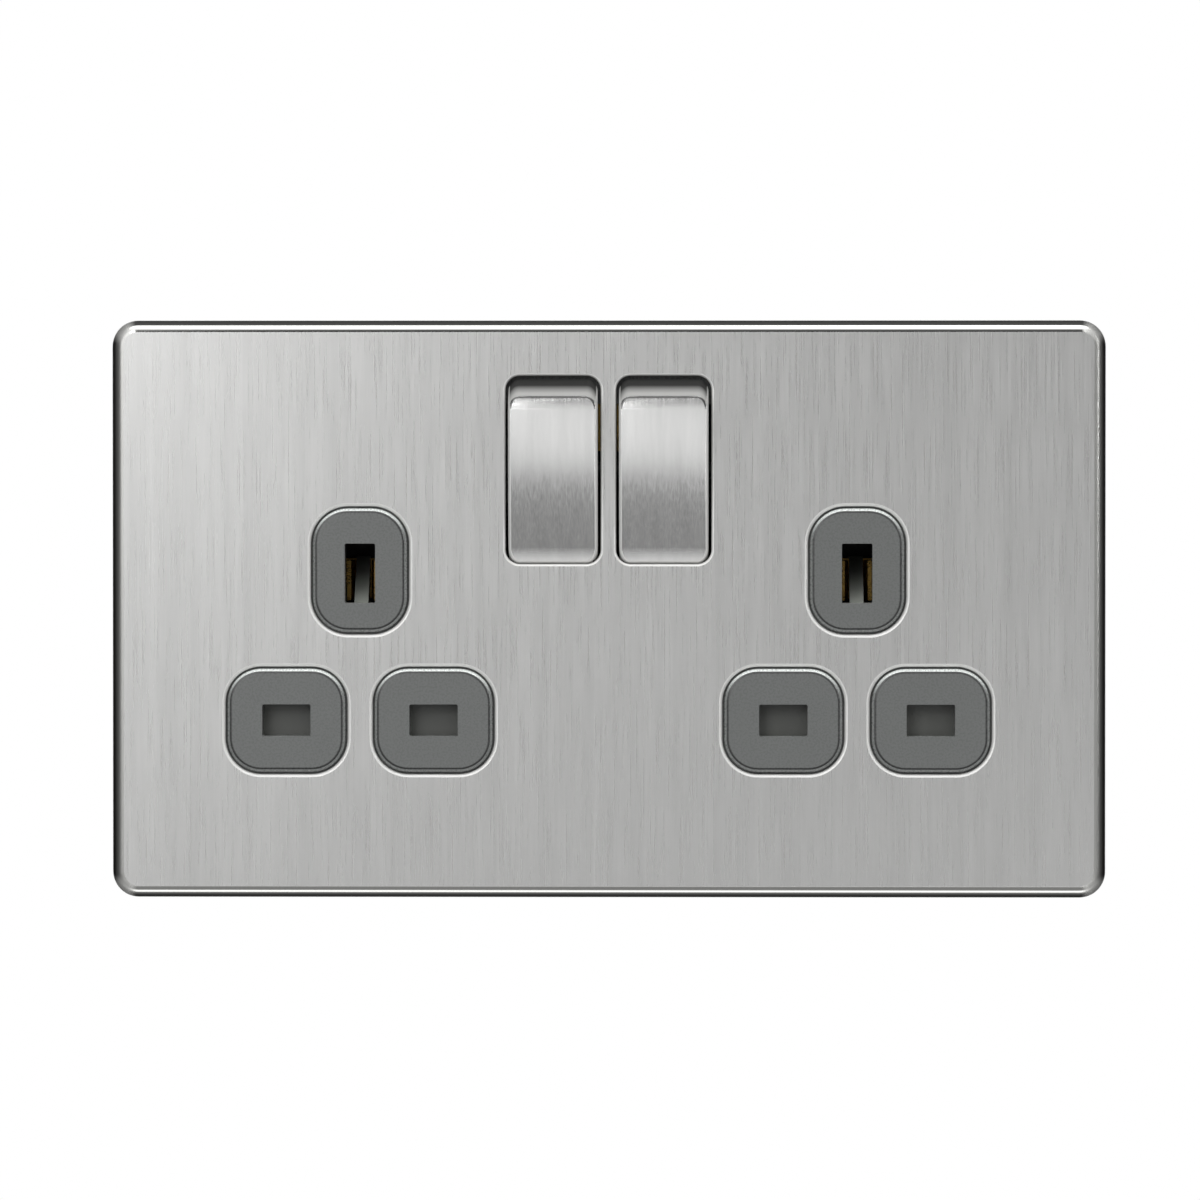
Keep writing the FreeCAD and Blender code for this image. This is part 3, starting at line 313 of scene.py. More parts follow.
def grain(tree, size_mm, detail=3.0, roughness=0.55):
    """Noise whose cells have these sizes in millimetres along X, Y and Z."""
    coords = add(tree, "ShaderNodeTexCoord")
    place = add(tree, "ShaderNodeMapping", {
        "Vector": coords.outputs["Object"],
        "Scale": [1.0 / (s * MM) for s in size_mm],
    })
    return add(tree, "ShaderNodeTexNoise", {
        "Vector": place.outputs[0], "Scale": 1.0, "Detail": detail, "Roughness": roughness}).outputs[0]


def uneven_colour(tree, pattern, colour, spread):
    """A colour that wanders with a pattern between a darker and a lighter neighbour."""
    darker = (*(c * (1 - spread) for c in colour[:3]), 1.0)
    lighter = (*(c * (1 + spread) for c in colour[:3]), 1.0)
    mix = add(tree, "ShaderNodeMix", {"Factor": pattern, 6: darker, 7: lighter}, data_type="RGBA")
    return mix.outputs[2]


def uneven_gloss(tree, bsdf, pattern, rough, spread):
    """Roughness that wanders with a noise, up to a spread either way."""
    gloss = add(tree, "ShaderNodeMapRange", {
        "Value": pattern, **dict(zip(RANGE, (*NOISE, rough - spread, rough + spread)))})
    tree.links.new(gloss.outputs[0], bsdf.inputs["Roughness"])


def along(tree, name):
    """How far along one axis of the piece a point lies, in metres."""
    coords = add(tree, "ShaderNodeTexCoord")
    return add(tree, "ShaderNodeSeparateXYZ", {"Vector": coords.outputs["Object"]}).outputs[name]


def edge_way(tree):
    """The way a surface looks, seen from the front: 0 straight down, 0.5 to either side, 1 straight up."""
    normal = add(tree, "ShaderNodeNewGeometry").outputs["Normal"]
    parts = add(tree, "ShaderNodeSeparateXYZ", {"Vector": normal})
    side = add(tree, "ShaderNodeMath", {0: parts.outputs["X"]}, operation="ABSOLUTE")
    turn = add(tree, "ShaderNodeMath", {
        0: parts.outputs["Z"], 1: side.outputs[0]}, operation="ARCTAN2")
    return add(tree, "ShaderNodeMapRange", {
        "Value": turn.outputs[0], "From Min": -math.pi / 2, "From Max": math.pi / 2}).outputs[0]


def ahead_share(tree):
    """Cosine between a surface and straight ahead."""
    normal = add(tree, "ShaderNodeNewGeometry").outputs["Normal"]
    ahead = add(tree, "ShaderNodeVectorMath", {0: normal, 1: (0, -1, 0)}, operation="DOT_PRODUCT")
    return ahead.outputs["Value"]


# Materials
def brushed_stainless(name, colour, rough, frost_and_highlight=None):
    """Stainless sheet, belt brushed up and down: fine vertical lines, satin, with streaky gloss."""
    mat, tree, bsdf = material(name, Metallic=1.0)
    # Real brush lines are near 0.05 mm wide; they're drawn 0.2 mm wide so that they show
    fine = grain(tree, (0.2, 0.2, 14.0), detail=4.0, roughness=0.6)
    broad = grain(tree, (1.6, 1.6, 60.0), detail=2.0, roughness=0.5)
    both = add(tree, "ShaderNodeMath", {0: fine, 1: broad}, operation="ADD")
    streaks = add(tree, "ShaderNodeMapRange", {
        "Value": both.outputs[0], **dict(zip(RANGE, TWO_NOISES))})
    base = uneven_colour(tree, streaks.outputs[0], colour, spread=0.06)
    tree.links.new(base, bsdf.inputs["Base Color"])
    uneven_gloss(tree, bsdf, fine, rough, spread=0.06)
    bump = add(tree, "ShaderNodeBump", {"Height": fine, "Distance": 0.012 * MM, "Strength": 0.20})
    tree.links.new(bump.outputs[0], bsdf.inputs["Normal"])
    if frost_and_highlight:
        # The lower lip is less metallic, so it shows as a pale band: a painted highlight
        lip = add(tree, "ShaderNodeMapRange", {"Value": along(tree, "Z"), **dict(zip(RANGE, frost_and_highlight))})
        tree.links.new(lip.outputs[0], bsdf.inputs["Metallic"])
    return mat


def rolled_stainless(name):
    """The sheet's rolled edge: polished nearly to a mirror along the top and bottom, satin down the
    sides, and frosted on the stretched corners, which catch light from every side."""
    mat, tree, bsdf = material(name)
    fine = grain(tree, (0.25, 0.25, 10.0))
    base = uneven_colour(tree, fine, linear("DADAD7"), spread=0.06)
    way = edge_way(tree)
    polish, tone, metal, painted_line_least = (
        add(tree, "ShaderNodeValToRGB", {"Fac": way}, stops).outputs[0]
        for stops in (EDGE_POLISH, EDGE_TONE, EDGE_METAL, EDGE_PAINTED_LINE_LEAST))
    # The polished stretches start with a thin dark line beside the plate's face: painted shade, darkest
    # along the top
    painted_line = add(tree, "ShaderNodeValToRGB", {"Fac": ahead_share(tree)}, EDGE_PAINTED_LINE).outputs[0]
    least = add(tree, "ShaderNodeMath", {0: painted_line, 1: painted_line_least}, operation="MAXIMUM")
    share = add(tree, "ShaderNodeMath", {0: least.outputs[0], 1: tone}, operation="MULTIPLY")
    shaded = add(tree, "ShaderNodeVectorMath", {0: base, "Scale": share.outputs[0]}, operation="SCALE")
    rough = add(tree, "ShaderNodeMapRange", {"Value": polish, **dict(zip(RANGE, EDGE_ROUGH))})
    tree.links.new(shaded.outputs[0], bsdf.inputs["Base Color"])
    tree.links.new(metal, bsdf.inputs["Metallic"])
    tree.links.new(rough.outputs[0], bsdf.inputs["Roughness"])
    return mat


def frosted_stainless(name, painted_end_shade=False):
    """A cut edge after tumbling: frosted, so that it catches light from every side as a pale line."""
    mat, tree, bsdf = material(name, Metallic=0.35)
    frost_and_highlight = grain(tree, (0.12, 0.12, 0.12))
    base = uneven_colour(tree, frost_and_highlight, linear("D0D0CE"), spread=0.05)
    if painted_end_shade:
        # Painted shade: the ends of a rocker cap are coloured darker where they pass into the window,
        # standing in for its shade
        shade = add(tree, "ShaderNodeMapRange", {
            "Value": along(tree, "Y"), **dict(zip(RANGE, END_PAINTED_SHADE))})
        base = add(tree, "ShaderNodeVectorMath", {
            0: base, "Scale": shade.outputs[0]}, operation="SCALE").outputs[0]
    tree.links.new(base, bsdf.inputs["Base Color"])
    uneven_gloss(tree, bsdf, frost_and_highlight, rough=0.44, spread=0.06)
    return mat


def moulded(name, colour, rough, grit_mm=0.35, depth_mm=0.01, rim=False, painted_foot_light=False):
    """Injection moulded urea, nylon or polycarbonate: even colour, slight grain, soft gloss."""
    mat, tree, bsdf = material(name, IOR=1.5)
    grit = grain(tree, (grit_mm,) * 3)
    cloud = grain(tree, (9.0, 9.0, 9.0), detail=2.0)
    base = uneven_colour(tree, cloud, colour, spread=0.05)
    if rim:
        # Painted shade beside each insert's rim and a painted highlight on the rim
        base, gleam = rim_painted_light(tree, base)
        tree.links.new(gleam, bsdf.inputs["Metallic"])
    if painted_foot_light:
        # Painted light: a shutter's ramp is coloured paler at its foot, and darker above and below it
        height = add(tree, "ShaderNodeMapRange", {
            "Value": along(tree, "Z"), **dict(zip(RANGE, PAINTED_LIGHT_SPAN))})
        painted_light = add(tree, "ShaderNodeValToRGB", {"Fac": height.outputs[0]}, PAINTED_LIGHT_LEVELS)
        painted_gain = add(tree, "ShaderNodeMath", {0: painted_light.outputs[0], 1: PAINTED_LIGHT_GAIN}, operation="MULTIPLY")
        base = add(tree, "ShaderNodeVectorMath", {
            0: base, "Scale": painted_gain.outputs[0]}, operation="SCALE").outputs[0]
    tree.links.new(base, bsdf.inputs["Base Color"])
    uneven_gloss(tree, bsdf, grit, rough, spread=0.05)
    bump = add(tree, "ShaderNodeBump", {"Height": grit, "Distance": depth_mm * MM, "Strength": 0.3})
    tree.links.new(bump.outputs[0], bsdf.inputs["Normal"])
    return mat


def rim_painted_light(tree, base):
    """Painted shade where an insert's face meets its rim, and a painted highlight on the rim outside it,
    which is palest along the top."""
    ramp = add(tree, "ShaderNodeValToRGB", {"Fac": ahead_share(tree)}, RIM_LEVELS).outputs[0]
    normal = add(tree, "ShaderNodeNewGeometry").outputs["Normal"]
    parts = add(tree, "ShaderNodeSeparateXYZ", {"Vector": normal})
    painted_top = add(tree, "ShaderNodeMapRange", {
        "Value": parts.outputs["Z"], **dict(zip(RANGE, RIM_PAINTED_TOP))})
    gain = add(tree, "ShaderNodeMath", {0: painted_top.outputs[0], 1: RIM_GAIN}, operation="MULTIPLY")
    factor = add(tree, "ShaderNodeMath", {0: ramp, 1: gain.outputs[0]}, operation="MULTIPLY")
    shaded = add(tree, "ShaderNodeVectorMath", {0: base, "Scale": factor.outputs[0]}, operation="SCALE")
    gleam = add(tree, "ShaderNodeMapRange", {"Value": ramp, **dict(zip(RANGE, RIM_GLEAM))})
    return shaded.outputs[0], gleam.outputs[0]


def strip_metal(name, colour, rough, roll_mm=(6.0, 0.3, 0.3)):
    """Rolled or turned metal: faint lines one way, a little tarnish in patches."""
    mat, tree, bsdf = material(name, Metallic=1.0)
    lines = grain(tree, roll_mm)
    patch = grain(tree, (3.0, 3.0, 3.0), detail=4.0)
    base = uneven_colour(tree, patch, colour, spread=0.14)
    tree.links.new(base, bsdf.inputs["Base Color"])
    uneven_gloss(tree, bsdf, lines, rough, spread=0.07)
    bump = add(tree, "ShaderNodeBump", {"Height": lines, "Distance": 0.01 * MM, "Strength": 0.25})
    tree.links.new(bump.outputs[0], bsdf.inputs["Normal"])
    return mat


def threaded_steel(name, pitch_mm):
    """Zinc plated screw steel with its thread as bump, which runs along Y."""
    mat, tree, bsdf = material(name, Metallic=1.0)
    coords = add(tree, "ShaderNodeTexCoord")
    wave = add(tree, "ShaderNodeTexWave", {
        "Vector": coords.outputs["Object"], "Scale": WAVE_CREST / (pitch_mm * MM)},
        wave_type="BANDS", bands_direction="Y", wave_profile="SIN")
    patch = grain(tree, (1.5, 1.5, 1.5))
    base = uneven_colour(tree, patch, linear("B9BBBD"), spread=0.15)
    tree.links.new(base, bsdf.inputs["Base Color"])
    uneven_gloss(tree, bsdf, patch, rough=0.30, spread=0.06)
    bump = add(tree, "ShaderNodeBump", {
        "Height": wave.outputs["Fac"], "Distance": 0.12 * MM, "Strength": 0.8})
    tree.links.new(bump.outputs[0], bsdf.inputs["Normal"])
    return mat


# The finishes by kind, which make_materials fills in
MATERIALS = {}


def make_materials():
    """Makes the finishes of this socket's pieces."""
    own = bpy.context.scene.socket_colours
    lip = [c * LIP_PAINTED_SHADE for c in own.rocker]
    # Drawn, plated and struck metal has short lines that run no particular way
    even_mm = (0.4, 0.4, 0.4)
    MATERIALS.update({
        # The sheet and its edges, and the two caps pressed from the same steel
        "plate": brushed_stainless("brushed_stainless_plate", own.steel, rough=0.30),
        "edge": rolled_stainless("rolled_stainless_edge"),
        "cut": frosted_stainless("tumbled_stainless_cut_edge"),
        "rocker": brushed_stainless("brushed_stainless_rocker", own.rocker, rough=0.20, frost_and_highlight=LOWER_LIP_HIGHLIGHT),
        # The rocker ends, frosted, with painted shade towards the window
        "rocker_end": frosted_stainless("tumbled_stainless_rocker_end_painted_shade", painted_end_shade=True),
        # The upper lip is a dark copy of the rocker steel: painted shade
        "rocker_lip_painted_shade": brushed_stainless("brushed_stainless_rocker_lip_painted_shade", lip, rough=0.25),
        # Hard urea with a soft shine, matt nylon that slides, and dull black polycarbonate
        "insert": moulded("grey_urea_insert", own.insert, rough=0.28, depth_mm=0.004, rim=True),
        # The shutter, with painted light at the foot of its ramp
        "shutter": moulded("grey_nylon_shutter", linear("51534F"), rough=0.42, painted_foot_light=True),
        "core": moulded("dark_nylon_core", linear("3F4040"), rough=0.45),
        "case": moulded(
            "black_polycarbonate_case", linear("292A2B"), rough=0.48, grit_mm=0.5, depth_mm=0.02),
        # Brass with the lines of the rolls along a strip, and of the lathe along a block
        "brass": strip_metal("rolled_brass_strip", linear("BD9B57"), rough=0.30),
        "block": strip_metal(
            "turned_brass_block", linear("C4A25C"), rough=0.26, roll_mm=(0.3, 0.3, 4.0)),
        # Bright silver, dull drawn wire, and zinc plate that is paler than the steel under it
        "silver": strip_metal("silver_contact_rivet", linear("DEDEDA"), rough=0.22, roll_mm=even_mm),
        "spring": strip_metal("drawn_spring_wire", linear("9C9D9F"), rough=0.28, roll_mm=even_mm),
        "clamp": threaded_steel("zinc_plated_clamp_screw", pitch_mm=0.7),
        "screw": strip_metal("zinc_plated_housing_screw", linear("B8BABC"), rough=0.30, roll_mm=even_mm),
    })


# Mesh helpers
def outline(bm, cx, cz, w, h, r, y, steps):
    """Edges of a rectangle with round corners, in the plane y: a square with bevelled corners."""
    before = set(bm.faces)
    upright = Matrix.Rotation(math.pi / 2, 4, "X")
    place = Matrix.Translation((cx, y, cz)) @ upright @ Matrix.Diagonal((w, h, 1, 1))
    square = bmesh.ops.create_grid(bm, x_segments=1, y_segments=1, size=0.5, matrix=place)["verts"]
    bmesh.ops.bevel(
        bm, geom=square, offset=r, offset_type="OFFSET", segments=steps, profile=0.5,
        affect="VERTICES", material=-1)
    face = next(f for f in bm.faces if f not in before)
    edges = face.edges[:]
    bmesh.ops.delete(bm, geom=[face], context="FACES_ONLY")
    return edges


def loft(bm, loops):
    """Skins a row of loops that have the same number of edges."""
    for a, b in zip(loops, loops[1:]):
        bmesh.ops.bridge_loops(bm, edges=a + b)


def fill(bm, loops):
    """Fills the flat space inside the first loop and outside the rest."""
    edges = [e for loop in loops for e in loop]
    bmesh.ops.triangle_fill(bm, use_beauty=True, use_dissolve=False, edges=edges)


def finish_mesh(bm, name, body, materials, replaced=(), sharp=SHARP):
    """Turns a bmesh into a finished piece that rides on a body and stands for CAD nodes."""
    mesh = bpy.data.meshes.new(name)
    bmesh.ops.recalc_face_normals(bm, faces=bm.faces)
    bm.to_mesh(mesh)
    bm.free()
    for mat in materials:
        mesh.materials.append(mat)
    obj = bpy.data.objects.new(name, mesh)
    bpy.context.scene.collection.objects.link(obj)
    mesh.shade_smooth()
    mesh.set_sharp_from_angle(angle=sharp)
    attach(obj, body)
    if replaced:
        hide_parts(*replaced)
    return obj


def flatten(mesh):
    """Shades the faces that look straight ahead or back as flat, next to their smooth rims."""
    for p in mesh.polygons:
        if abs(abs(p.normal.y) - 1) < STRAIGHT:
            p.use_smooth = False


def fresh_copy(node):
    """A CAD node's mesh as a welded bmesh."""
    bm = bmesh.new()
    bm.from_mesh(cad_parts[node].data)
    bmesh.ops.remove_doubles(bm, verts=bm.verts, dist=WELD)
    return bm


def windows():
    """The plate's openings as centre, width, height, corner, front roll and back relief."""
    s = sizes()
    out = []
    for _, side in SIDES:
        x = side * s.outlet_x
        out.append((x, EARTH_WINDOW_Z, *s.earth_window, s.window_roll, 0.0))
        for p in (-1, 1):
            out.append((x + p * s.pin_side, LIVE_Z, *s.live_window, s.window_roll, 0.0))
        out.append((side * ROCKER_X, ROCKER_Z, *s.switch_window, s.switch_roll, s.switch_relief))
    return out


def rolled(bm, cx, cz, w, h, r, y, roll, steps, outward, turns=WINDOW_TURNS):
    """Loops that round an edge: from the flat face at y back to the wall, roll deep."""
    loops = []
    for k in range(turns + 1):
        a = k / turns * math.pi / 2
        grow = roll * (1 - math.sin(a)) * (-1 if outward else 1)
        back = roll * (1 - math.cos(a))
        loops.append(outline(bm, cx, cz, w + 2 * grow, h + 2 * grow, r + grow, y + back, steps))
    return loops


class SOCKET_OT_plate(bpy.types.Operator):
    """Builds the front plate with its rolled edge, skirt and rolled windows"""

    bl_idname = "socket.plate"
    bl_label = "Front plate"

    def execute(self, context):
        s = sizes()
        bm = bmesh.new()
        steps = s.corner_steps
        w = PLATE_HI.x - PLATE_LO.x
        h = PLATE_HI.z - PLATE_LO.z
        t = s.plate_sheet
        outer = rolled(
            bm, 0, 0, w, h, s.plate_corner, PLATE_FACE, s.plate_roll, steps, True, OUTER_TURNS)
        outer.append(outline(bm, 0, 0, w, h, s.plate_corner, PLATE_HI.y, steps))
        inside_w = w - 2 * t
        inside_h = h - 2 * t
        inner = rolled(
            bm, 0, 0, inside_w, inside_h, s.plate_corner - t, PLATE_FACE + t, s.plate_roll - t, steps,
            True, INNER_TURNS)
        inner.append(outline(bm, 0, 0, inside_w, inside_h, s.plate_corner - t, PLATE_HI.y, steps))
        loft(bm, outer + inner[::-1])
        fronts = [outer[0]]
        backs = [inner[0]]
        for x, z, ww, wh, r, roll, relief in windows():
            loops = rolled(bm, x, z, ww, wh, r, PLATE_FACE, roll, steps, False)
            loops.append(outline(bm, x, z, ww, wh, r, PLATE_FACE + t - relief, steps))
            if relief:
                grow = 2 * relief
                loops.append(outline(bm, x, z, ww + grow, wh + grow, r + relief, PLATE_FACE + t, steps))
            loft(bm, loops)
            fronts.append(loops[0])
            backs.append(loops[-1])
        fill(bm, fronts)
        fill(bm, backs)
        kinds = ("plate", "edge", "cut")
        for f in bm.faces:
            middle = f.calc_center_median()
            inside = abs(middle.x) < w / 2 - BORDER and abs(middle.z) < h / 2 - BORDER
            flat = all(abs(v.co.y - PLATE_FACE) < SAME_PLACE for v in f.verts)
            back = all(abs(v.co.y - PLATE_HI.y) < SAME_PLACE for v in f.verts)
            f.material_index = kinds.index("plate" if flat else "cut" if inside or back else "edge")
        plate = finish_mesh(
            bm, "front_plate_brushed", "front_plate",
            [MATERIALS[kind] for kind in kinds], ["front_plate"])
        flatten(plate.data)
        return {"FINISHED"}


class SOCKET_OT_rockers(bpy.types.Operator):
    """Builds the two brushed rocker caps, with tumbled edges"""

    bl_idname = "socket.rockers"
    bl_label = "Rocker caps"

    def execute(self, context):
        kinds = ("rocker", "cut", "rocker_lip_painted_shade", "rocker_end")
        for side, _ in SIDES:
            bm = fresh_copy(f"rocker_cap_{side}")
            for f in bm.faces:
                f.material_index = kinds.index(self.finish(f.normal))
            finish_mesh(
                bm, f"rocker_cap_{side}_brushed", f"rocker_{side}",
                [MATERIALS[kind] for kind in kinds], [f"rocker_cap_{side}"], SHARP_CAP)
        return {"FINISHED"}

    def finish(self, normal):
        """The finish of a face that looks this way: the front, the upper edge with painted shade, an end
        with painted shade, or another edge.
        """
        front = Vector((0, -math.cos(TILT), -math.sin(TILT)))
        up = Vector((0, -math.sin(TILT), math.cos(TILT)))
        lean = math.degrees(normal.angle(front, 0.0))
        rise = normal.dot(up)
        if lean < FACE_LEAN:
            return "rocker"
        if rise > UPPER_RISE * abs(normal.x):
            return "rocker_lip_painted_shade" if lean < LIP_LEAN else "rocker_end"
        if rise < -abs(normal.x) and lean > END_LEAN:
            return "rocker_end"
        return "cut"


class SOCKET_OT_inserts(bpy.types.Operator):
    """Builds the grey front moulding, smooth on the rims of its six islands"""

    bl_idname = "socket.inserts"
    bl_label = "Front moulding"

    def execute(self, context):
        bm = fresh_copy("housing_front")
        piece = finish_mesh(
            bm, "housing_front_moulded", "base", [MATERIALS["insert"]],
            ["housing_front"], SHARP_MOULDING)
        flatten(piece.data)
        return {"FINISHED"}


class SOCKET_OT_springs(bpy.types.Operator):
    """Winds the shutter and plunger springs"""

    bl_idname = "socket.springs"
    bl_label = "Springs"

    def execute(self, context):
        for side, sign in SIDES:
            self.shutter_spring(side)
            self.plunger_spring(side, sign)
        return {"FINISHED"}

    def shutter_spring(self, side):
        """Stands upright under its shutter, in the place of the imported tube."""
        lo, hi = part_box(f"shutter_spring_{side}")
        length = hi.z - lo.z
        bm = self.coil((hi.x - lo.x) / 2 - SHUTTER_WIRE, SHUTTER_WIRE, length, SHUTTER_TURNS)
        bmesh.ops.translate(bm, verts=bm.verts, vec=((lo.x + hi.x) / 2, (lo.y + hi.y) / 2, lo.z))
        obj = finish_mesh(
            bm, f"shutter_spring_{side}_coil", "base",
            [MATERIALS["spring"]], [f"shutter_spring_{side}"])
        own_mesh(obj)

    def plunger_spring(self, side, sign):
        """Lies in the rocker's tube round the plunger's nose, and tips with the rocker."""
        bm = self.coil(PLUNGER_COIL, PLUNGER_WIRE, PLUNGER_LENGTH, PLUNGER_TURNS)
        turn = Matrix.Rotation(-math.pi / 2, 4, "X")
        tip = Matrix.Rotation(TILT, 4, "X")
        pivot = Matrix.Translation((sign * ROCKER_X, PIVOT_Y, ROCKER_Z))
        place = pivot @ tip @ Matrix.Translation((0, PLUNGER_START, 0)) @ turn
        bmesh.ops.transform(bm, matrix=place, verts=bm.verts)
        obj = finish_mesh(
            bm, f"plunger_spring_{side}_coil", f"rocker_{side}",
            [MATERIALS["spring"]], [f"plunger_spring_{side}"])
        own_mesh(obj)

    def coil(self, radius, wire, length, turns):
        """A wire circle spun up a helix, with both ends closed."""
        bm = bmesh.new()
        steps = int(turns * COIL_STEPS)
        ring = bmesh.ops.create_circle(
            bm, cap_ends=True, segments=sizes().wire_steps, radius=wire,
            matrix=Matrix.Translation((radius, 0, wire)) @ Matrix.Rotation(math.pi / 2, 4, "X"))
        edges = list({e for v in ring["verts"] for e in v.link_edges})
        geom = ring["verts"][:] + edges + bm.faces[:]
        bmesh.ops.spin(
            bm, geom=geom, cent=(0, 0, 0), axis=(0, 0, 1), dvec=(0, 0, (length - 2 * wire) / steps),
            angle=turns * 2 * math.pi, steps=steps, use_merge=False, use_duplicate=False)
        bmesh.ops.remove_doubles(bm, verts=bm.verts, dist=SAME_PLACE)
        return bm


CAD_FINISH = {
    "mounting_frame": "case", "housing_rear": "case",
    "line_bar": "brass", "neutral_bar": "brass", "earth_bar": "brass",
}
SIDE_FINISH = {
    "rocker_core": "core", "plunger": "core", "rocking_contact": "brass", "moving_tip": "silver",
    "fixed_tip": "silver", "live_bar": "brass", "live_contact": "brass", "neutral_contact": "brass",
    "earth_contact": "brass", "earth_strap": "brass", "shutter": "shutter", "shutter_guide": "core",
}


class SOCKET_OT_finishes(bpy.types.Operator):
    """Gives every solid that stays its own procedural finish"""

    bl_idname = "socket.finishes"
    bl_label = "Finishes"

    def execute(self, context):
        make_materials()
        finish = dict(CAD_FINISH)
        for side, _ in SIDES:
            for stem, kind in SIDE_FINISH.items():
                finish[f"{stem}_{side}"] = kind
        for corner in ("top_left", "top_right", "bottom_left", "bottom_right"):
            finish[f"housing_screw_{corner}"] = "screw"
        for place in ("line", "neutral", "earth_left", "earth_right"):
            finish[f"terminal_block_{place}"] = "block"
            finish[f"clamp_screw_{place}"] = "clamp"
        for node, kind in finish.items():
            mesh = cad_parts[node].data
            mesh.materials.clear()
            mesh.materials.append(MATERIALS[kind])
        return {"FINISHED"}


class SOCKET_OT_studio(bpy.types.Operator):
    """Sets the floor, the lights, the white surround and the camera"""

    bl_idname = "socket.studio"
    bl_label = "Studio"

    def execute(self, context):
        self.floor()
        self.surround()
        self.lamps()
        self.camera(context.scene.socket_studio)
        return {"FINISHED"}

    def floor(self):
        """A pale floor well below the object. Gloss doesn't show it, so the plate's lower roll stays
        dark."""
        bm = bmesh.new()
        bmesh.ops.create_grid(bm, x_segments=1, y_segments=1, size=FLOOR_REACH)
        bmesh.ops.translate(bm, verts=bm.verts, vec=(0, 0, FLOOR_Z))
        mesh = bpy.data.meshes.new("floor")
        bm.to_mesh(mesh)
        bm.free()
        mesh.materials.append(self.floor_paint())
        obj = bpy.data.objects.new("floor", mesh)
        bpy.context.scene.collection.objects.link(obj)
        obj.visible_glossy = False

    def floor_paint(self):
        """Matt white paint, part lit for the camera so that it stays pale, which fades out all round."""
        mat, tree, bsdf = material("painted_studio_floor", Roughness=0.8, Base_Color=linear("F2F2F2"))
        path = add(tree, "ShaderNodeLightPath")
        share = add(tree, "ShaderNodeMath", {
            0: path.outputs["Is Camera Ray"], 1: FLOOR_GLOW}, operation="MULTIPLY")
        glow = add(tree, "ShaderNodeEmission", {"Color": WHITE, "Strength": 1.0})
        paint = add(tree, "ShaderNodeMixShader", {
            0: share.outputs[0], 1: bsdf.outputs[0], 2: glow.outputs[0]})
        coords = add(tree, "ShaderNodeTexCoord")
        flat = add(tree, "ShaderNodeVectorMath", {
            0: coords.outputs["Object"], 1: (1, 1, 0)}, operation="MULTIPLY")
        reach = add(tree, "ShaderNodeVectorMath", {0: flat.outputs[0]}, operation="LENGTH")
        fade = add(tree, "ShaderNodeMapRange", {
            "Value": reach.outputs["Value"], **dict(zip(RANGE, FLOOR_FADE))},
            interpolation_type="SMOOTHSTEP")
        clear = add(tree, "ShaderNodeBsdfTransparent")
        edge = add(tree, "ShaderNodeMixShader", {
            0: fade.outputs[0], 1: paint.outputs[0], 2: clear.outputs[0]})
        out = next(n for n in tree.nodes if n.bl_idname == "ShaderNodeOutputMaterial")
        tree.links.new(edge.outputs[0], out.inputs["Surface"])
        return mat

    def surround(self):
        """A white backdrop where the camera sees it, which gloss and glass show too straight behind the
        object; elsewhere soft boxes as bands of height angle, which fade to the sides."""
        world = bpy.data.worlds.new("studio")
        bpy.context.scene.world = world
        world.use_nodes = True
        tree = world.node_tree
        tree.nodes.clear()
        coords = add(tree, "ShaderNodeTexCoord")
        way = add(tree, "ShaderNodeSeparateXYZ", {"Vector": coords.outputs["Generated"]})
        ahead = add(tree, "ShaderNodeMath", {0: way.outputs["Y"], 1: -1.0}, operation="MULTIPLY")
        angle = add(tree, "ShaderNodeMath", {
            0: way.outputs["Z"], 1: ahead.outputs[0]}, operation="ARCTAN2")
        turn = add(tree, "ShaderNodeMapRange", {
            "Value": angle.outputs[0], "From Min": -math.pi, "From Max": math.pi})
        bands = add(
            tree, "ShaderNodeValToRGB", {"Fac": turn.outputs[0]},
            [((degrees + 180) / 360, level) for degrees, level in HEIGHT_BANDS])
        reach = add(tree, "ShaderNodeMath", {0: way.outputs["X"]}, operation="ABSOLUTE")
        sides = add(tree, "ShaderNodeMapRange", {
            "Value": reach.outputs[0], **dict(zip(RANGE, SIDE_FADE))},
            interpolation_type="SMOOTHSTEP")
        level = add(tree, "ShaderNodeMath", {
            0: bands.outputs[0], 1: sides.outputs[0]}, operation="MULTIPLY")
        studio = add(tree, "ShaderNodeBackground", {"Color": WHITE, "Strength": level.outputs[0]})
        white = add(tree, "ShaderNodeBackground", {"Color": WHITE, "Strength": 1.0})
        path = add(tree, "ShaderNodeLightPath")
        mirrored = add(tree, "ShaderNodeMath", {
            0: path.outputs["Is Glossy Ray"], 1: path.outputs["Is Transmission Ray"]},
            operation="MAXIMUM")
        behind = add(tree, "ShaderNodeMath", {
            0: way.outputs["Y"], 1: BACKDROP_EDGE}, operation="GREATER_THAN")
        shown = add(tree, "ShaderNodeMath", {
            0: mirrored.outputs[0], 1: behind.outputs[0]}, operation="MULTIPLY")
        seen = add(tree, "ShaderNodeMath", {
            0: path.outputs["Is Camera Ray"], 1: shown.outputs[0]}, operation="MAXIMUM")
        mix = add(tree, "ShaderNodeMixShader", {
            0: seen.outputs[0], 1: studio.outputs[0], 2: white.outputs[0]})
        add(tree, "ShaderNodeOutputWorld", {"Surface": mix.outputs[0]})

    def lamps(self):
        """An upper left key, which makes the plate fall off to the right, with an overhead lamp, a narrow
        strip at the right and a small lamp low down."""
        for name, place, width, height, power in LAMPS:
            lamp = bpy.data.lights.new(name, "AREA")
            lamp.shape = "RECTANGLE"
            lamp.size = width
            lamp.size_y = height
            lamp.energy = power
            obj = bpy.data.objects.new(name, lamp)
            obj.location = place
            obj.rotation_euler = (LAMP_AIM - Vector(place)).to_track_quat("-Z", "Y").to_euler()
            bpy.context.scene.collection.objects.link(obj)

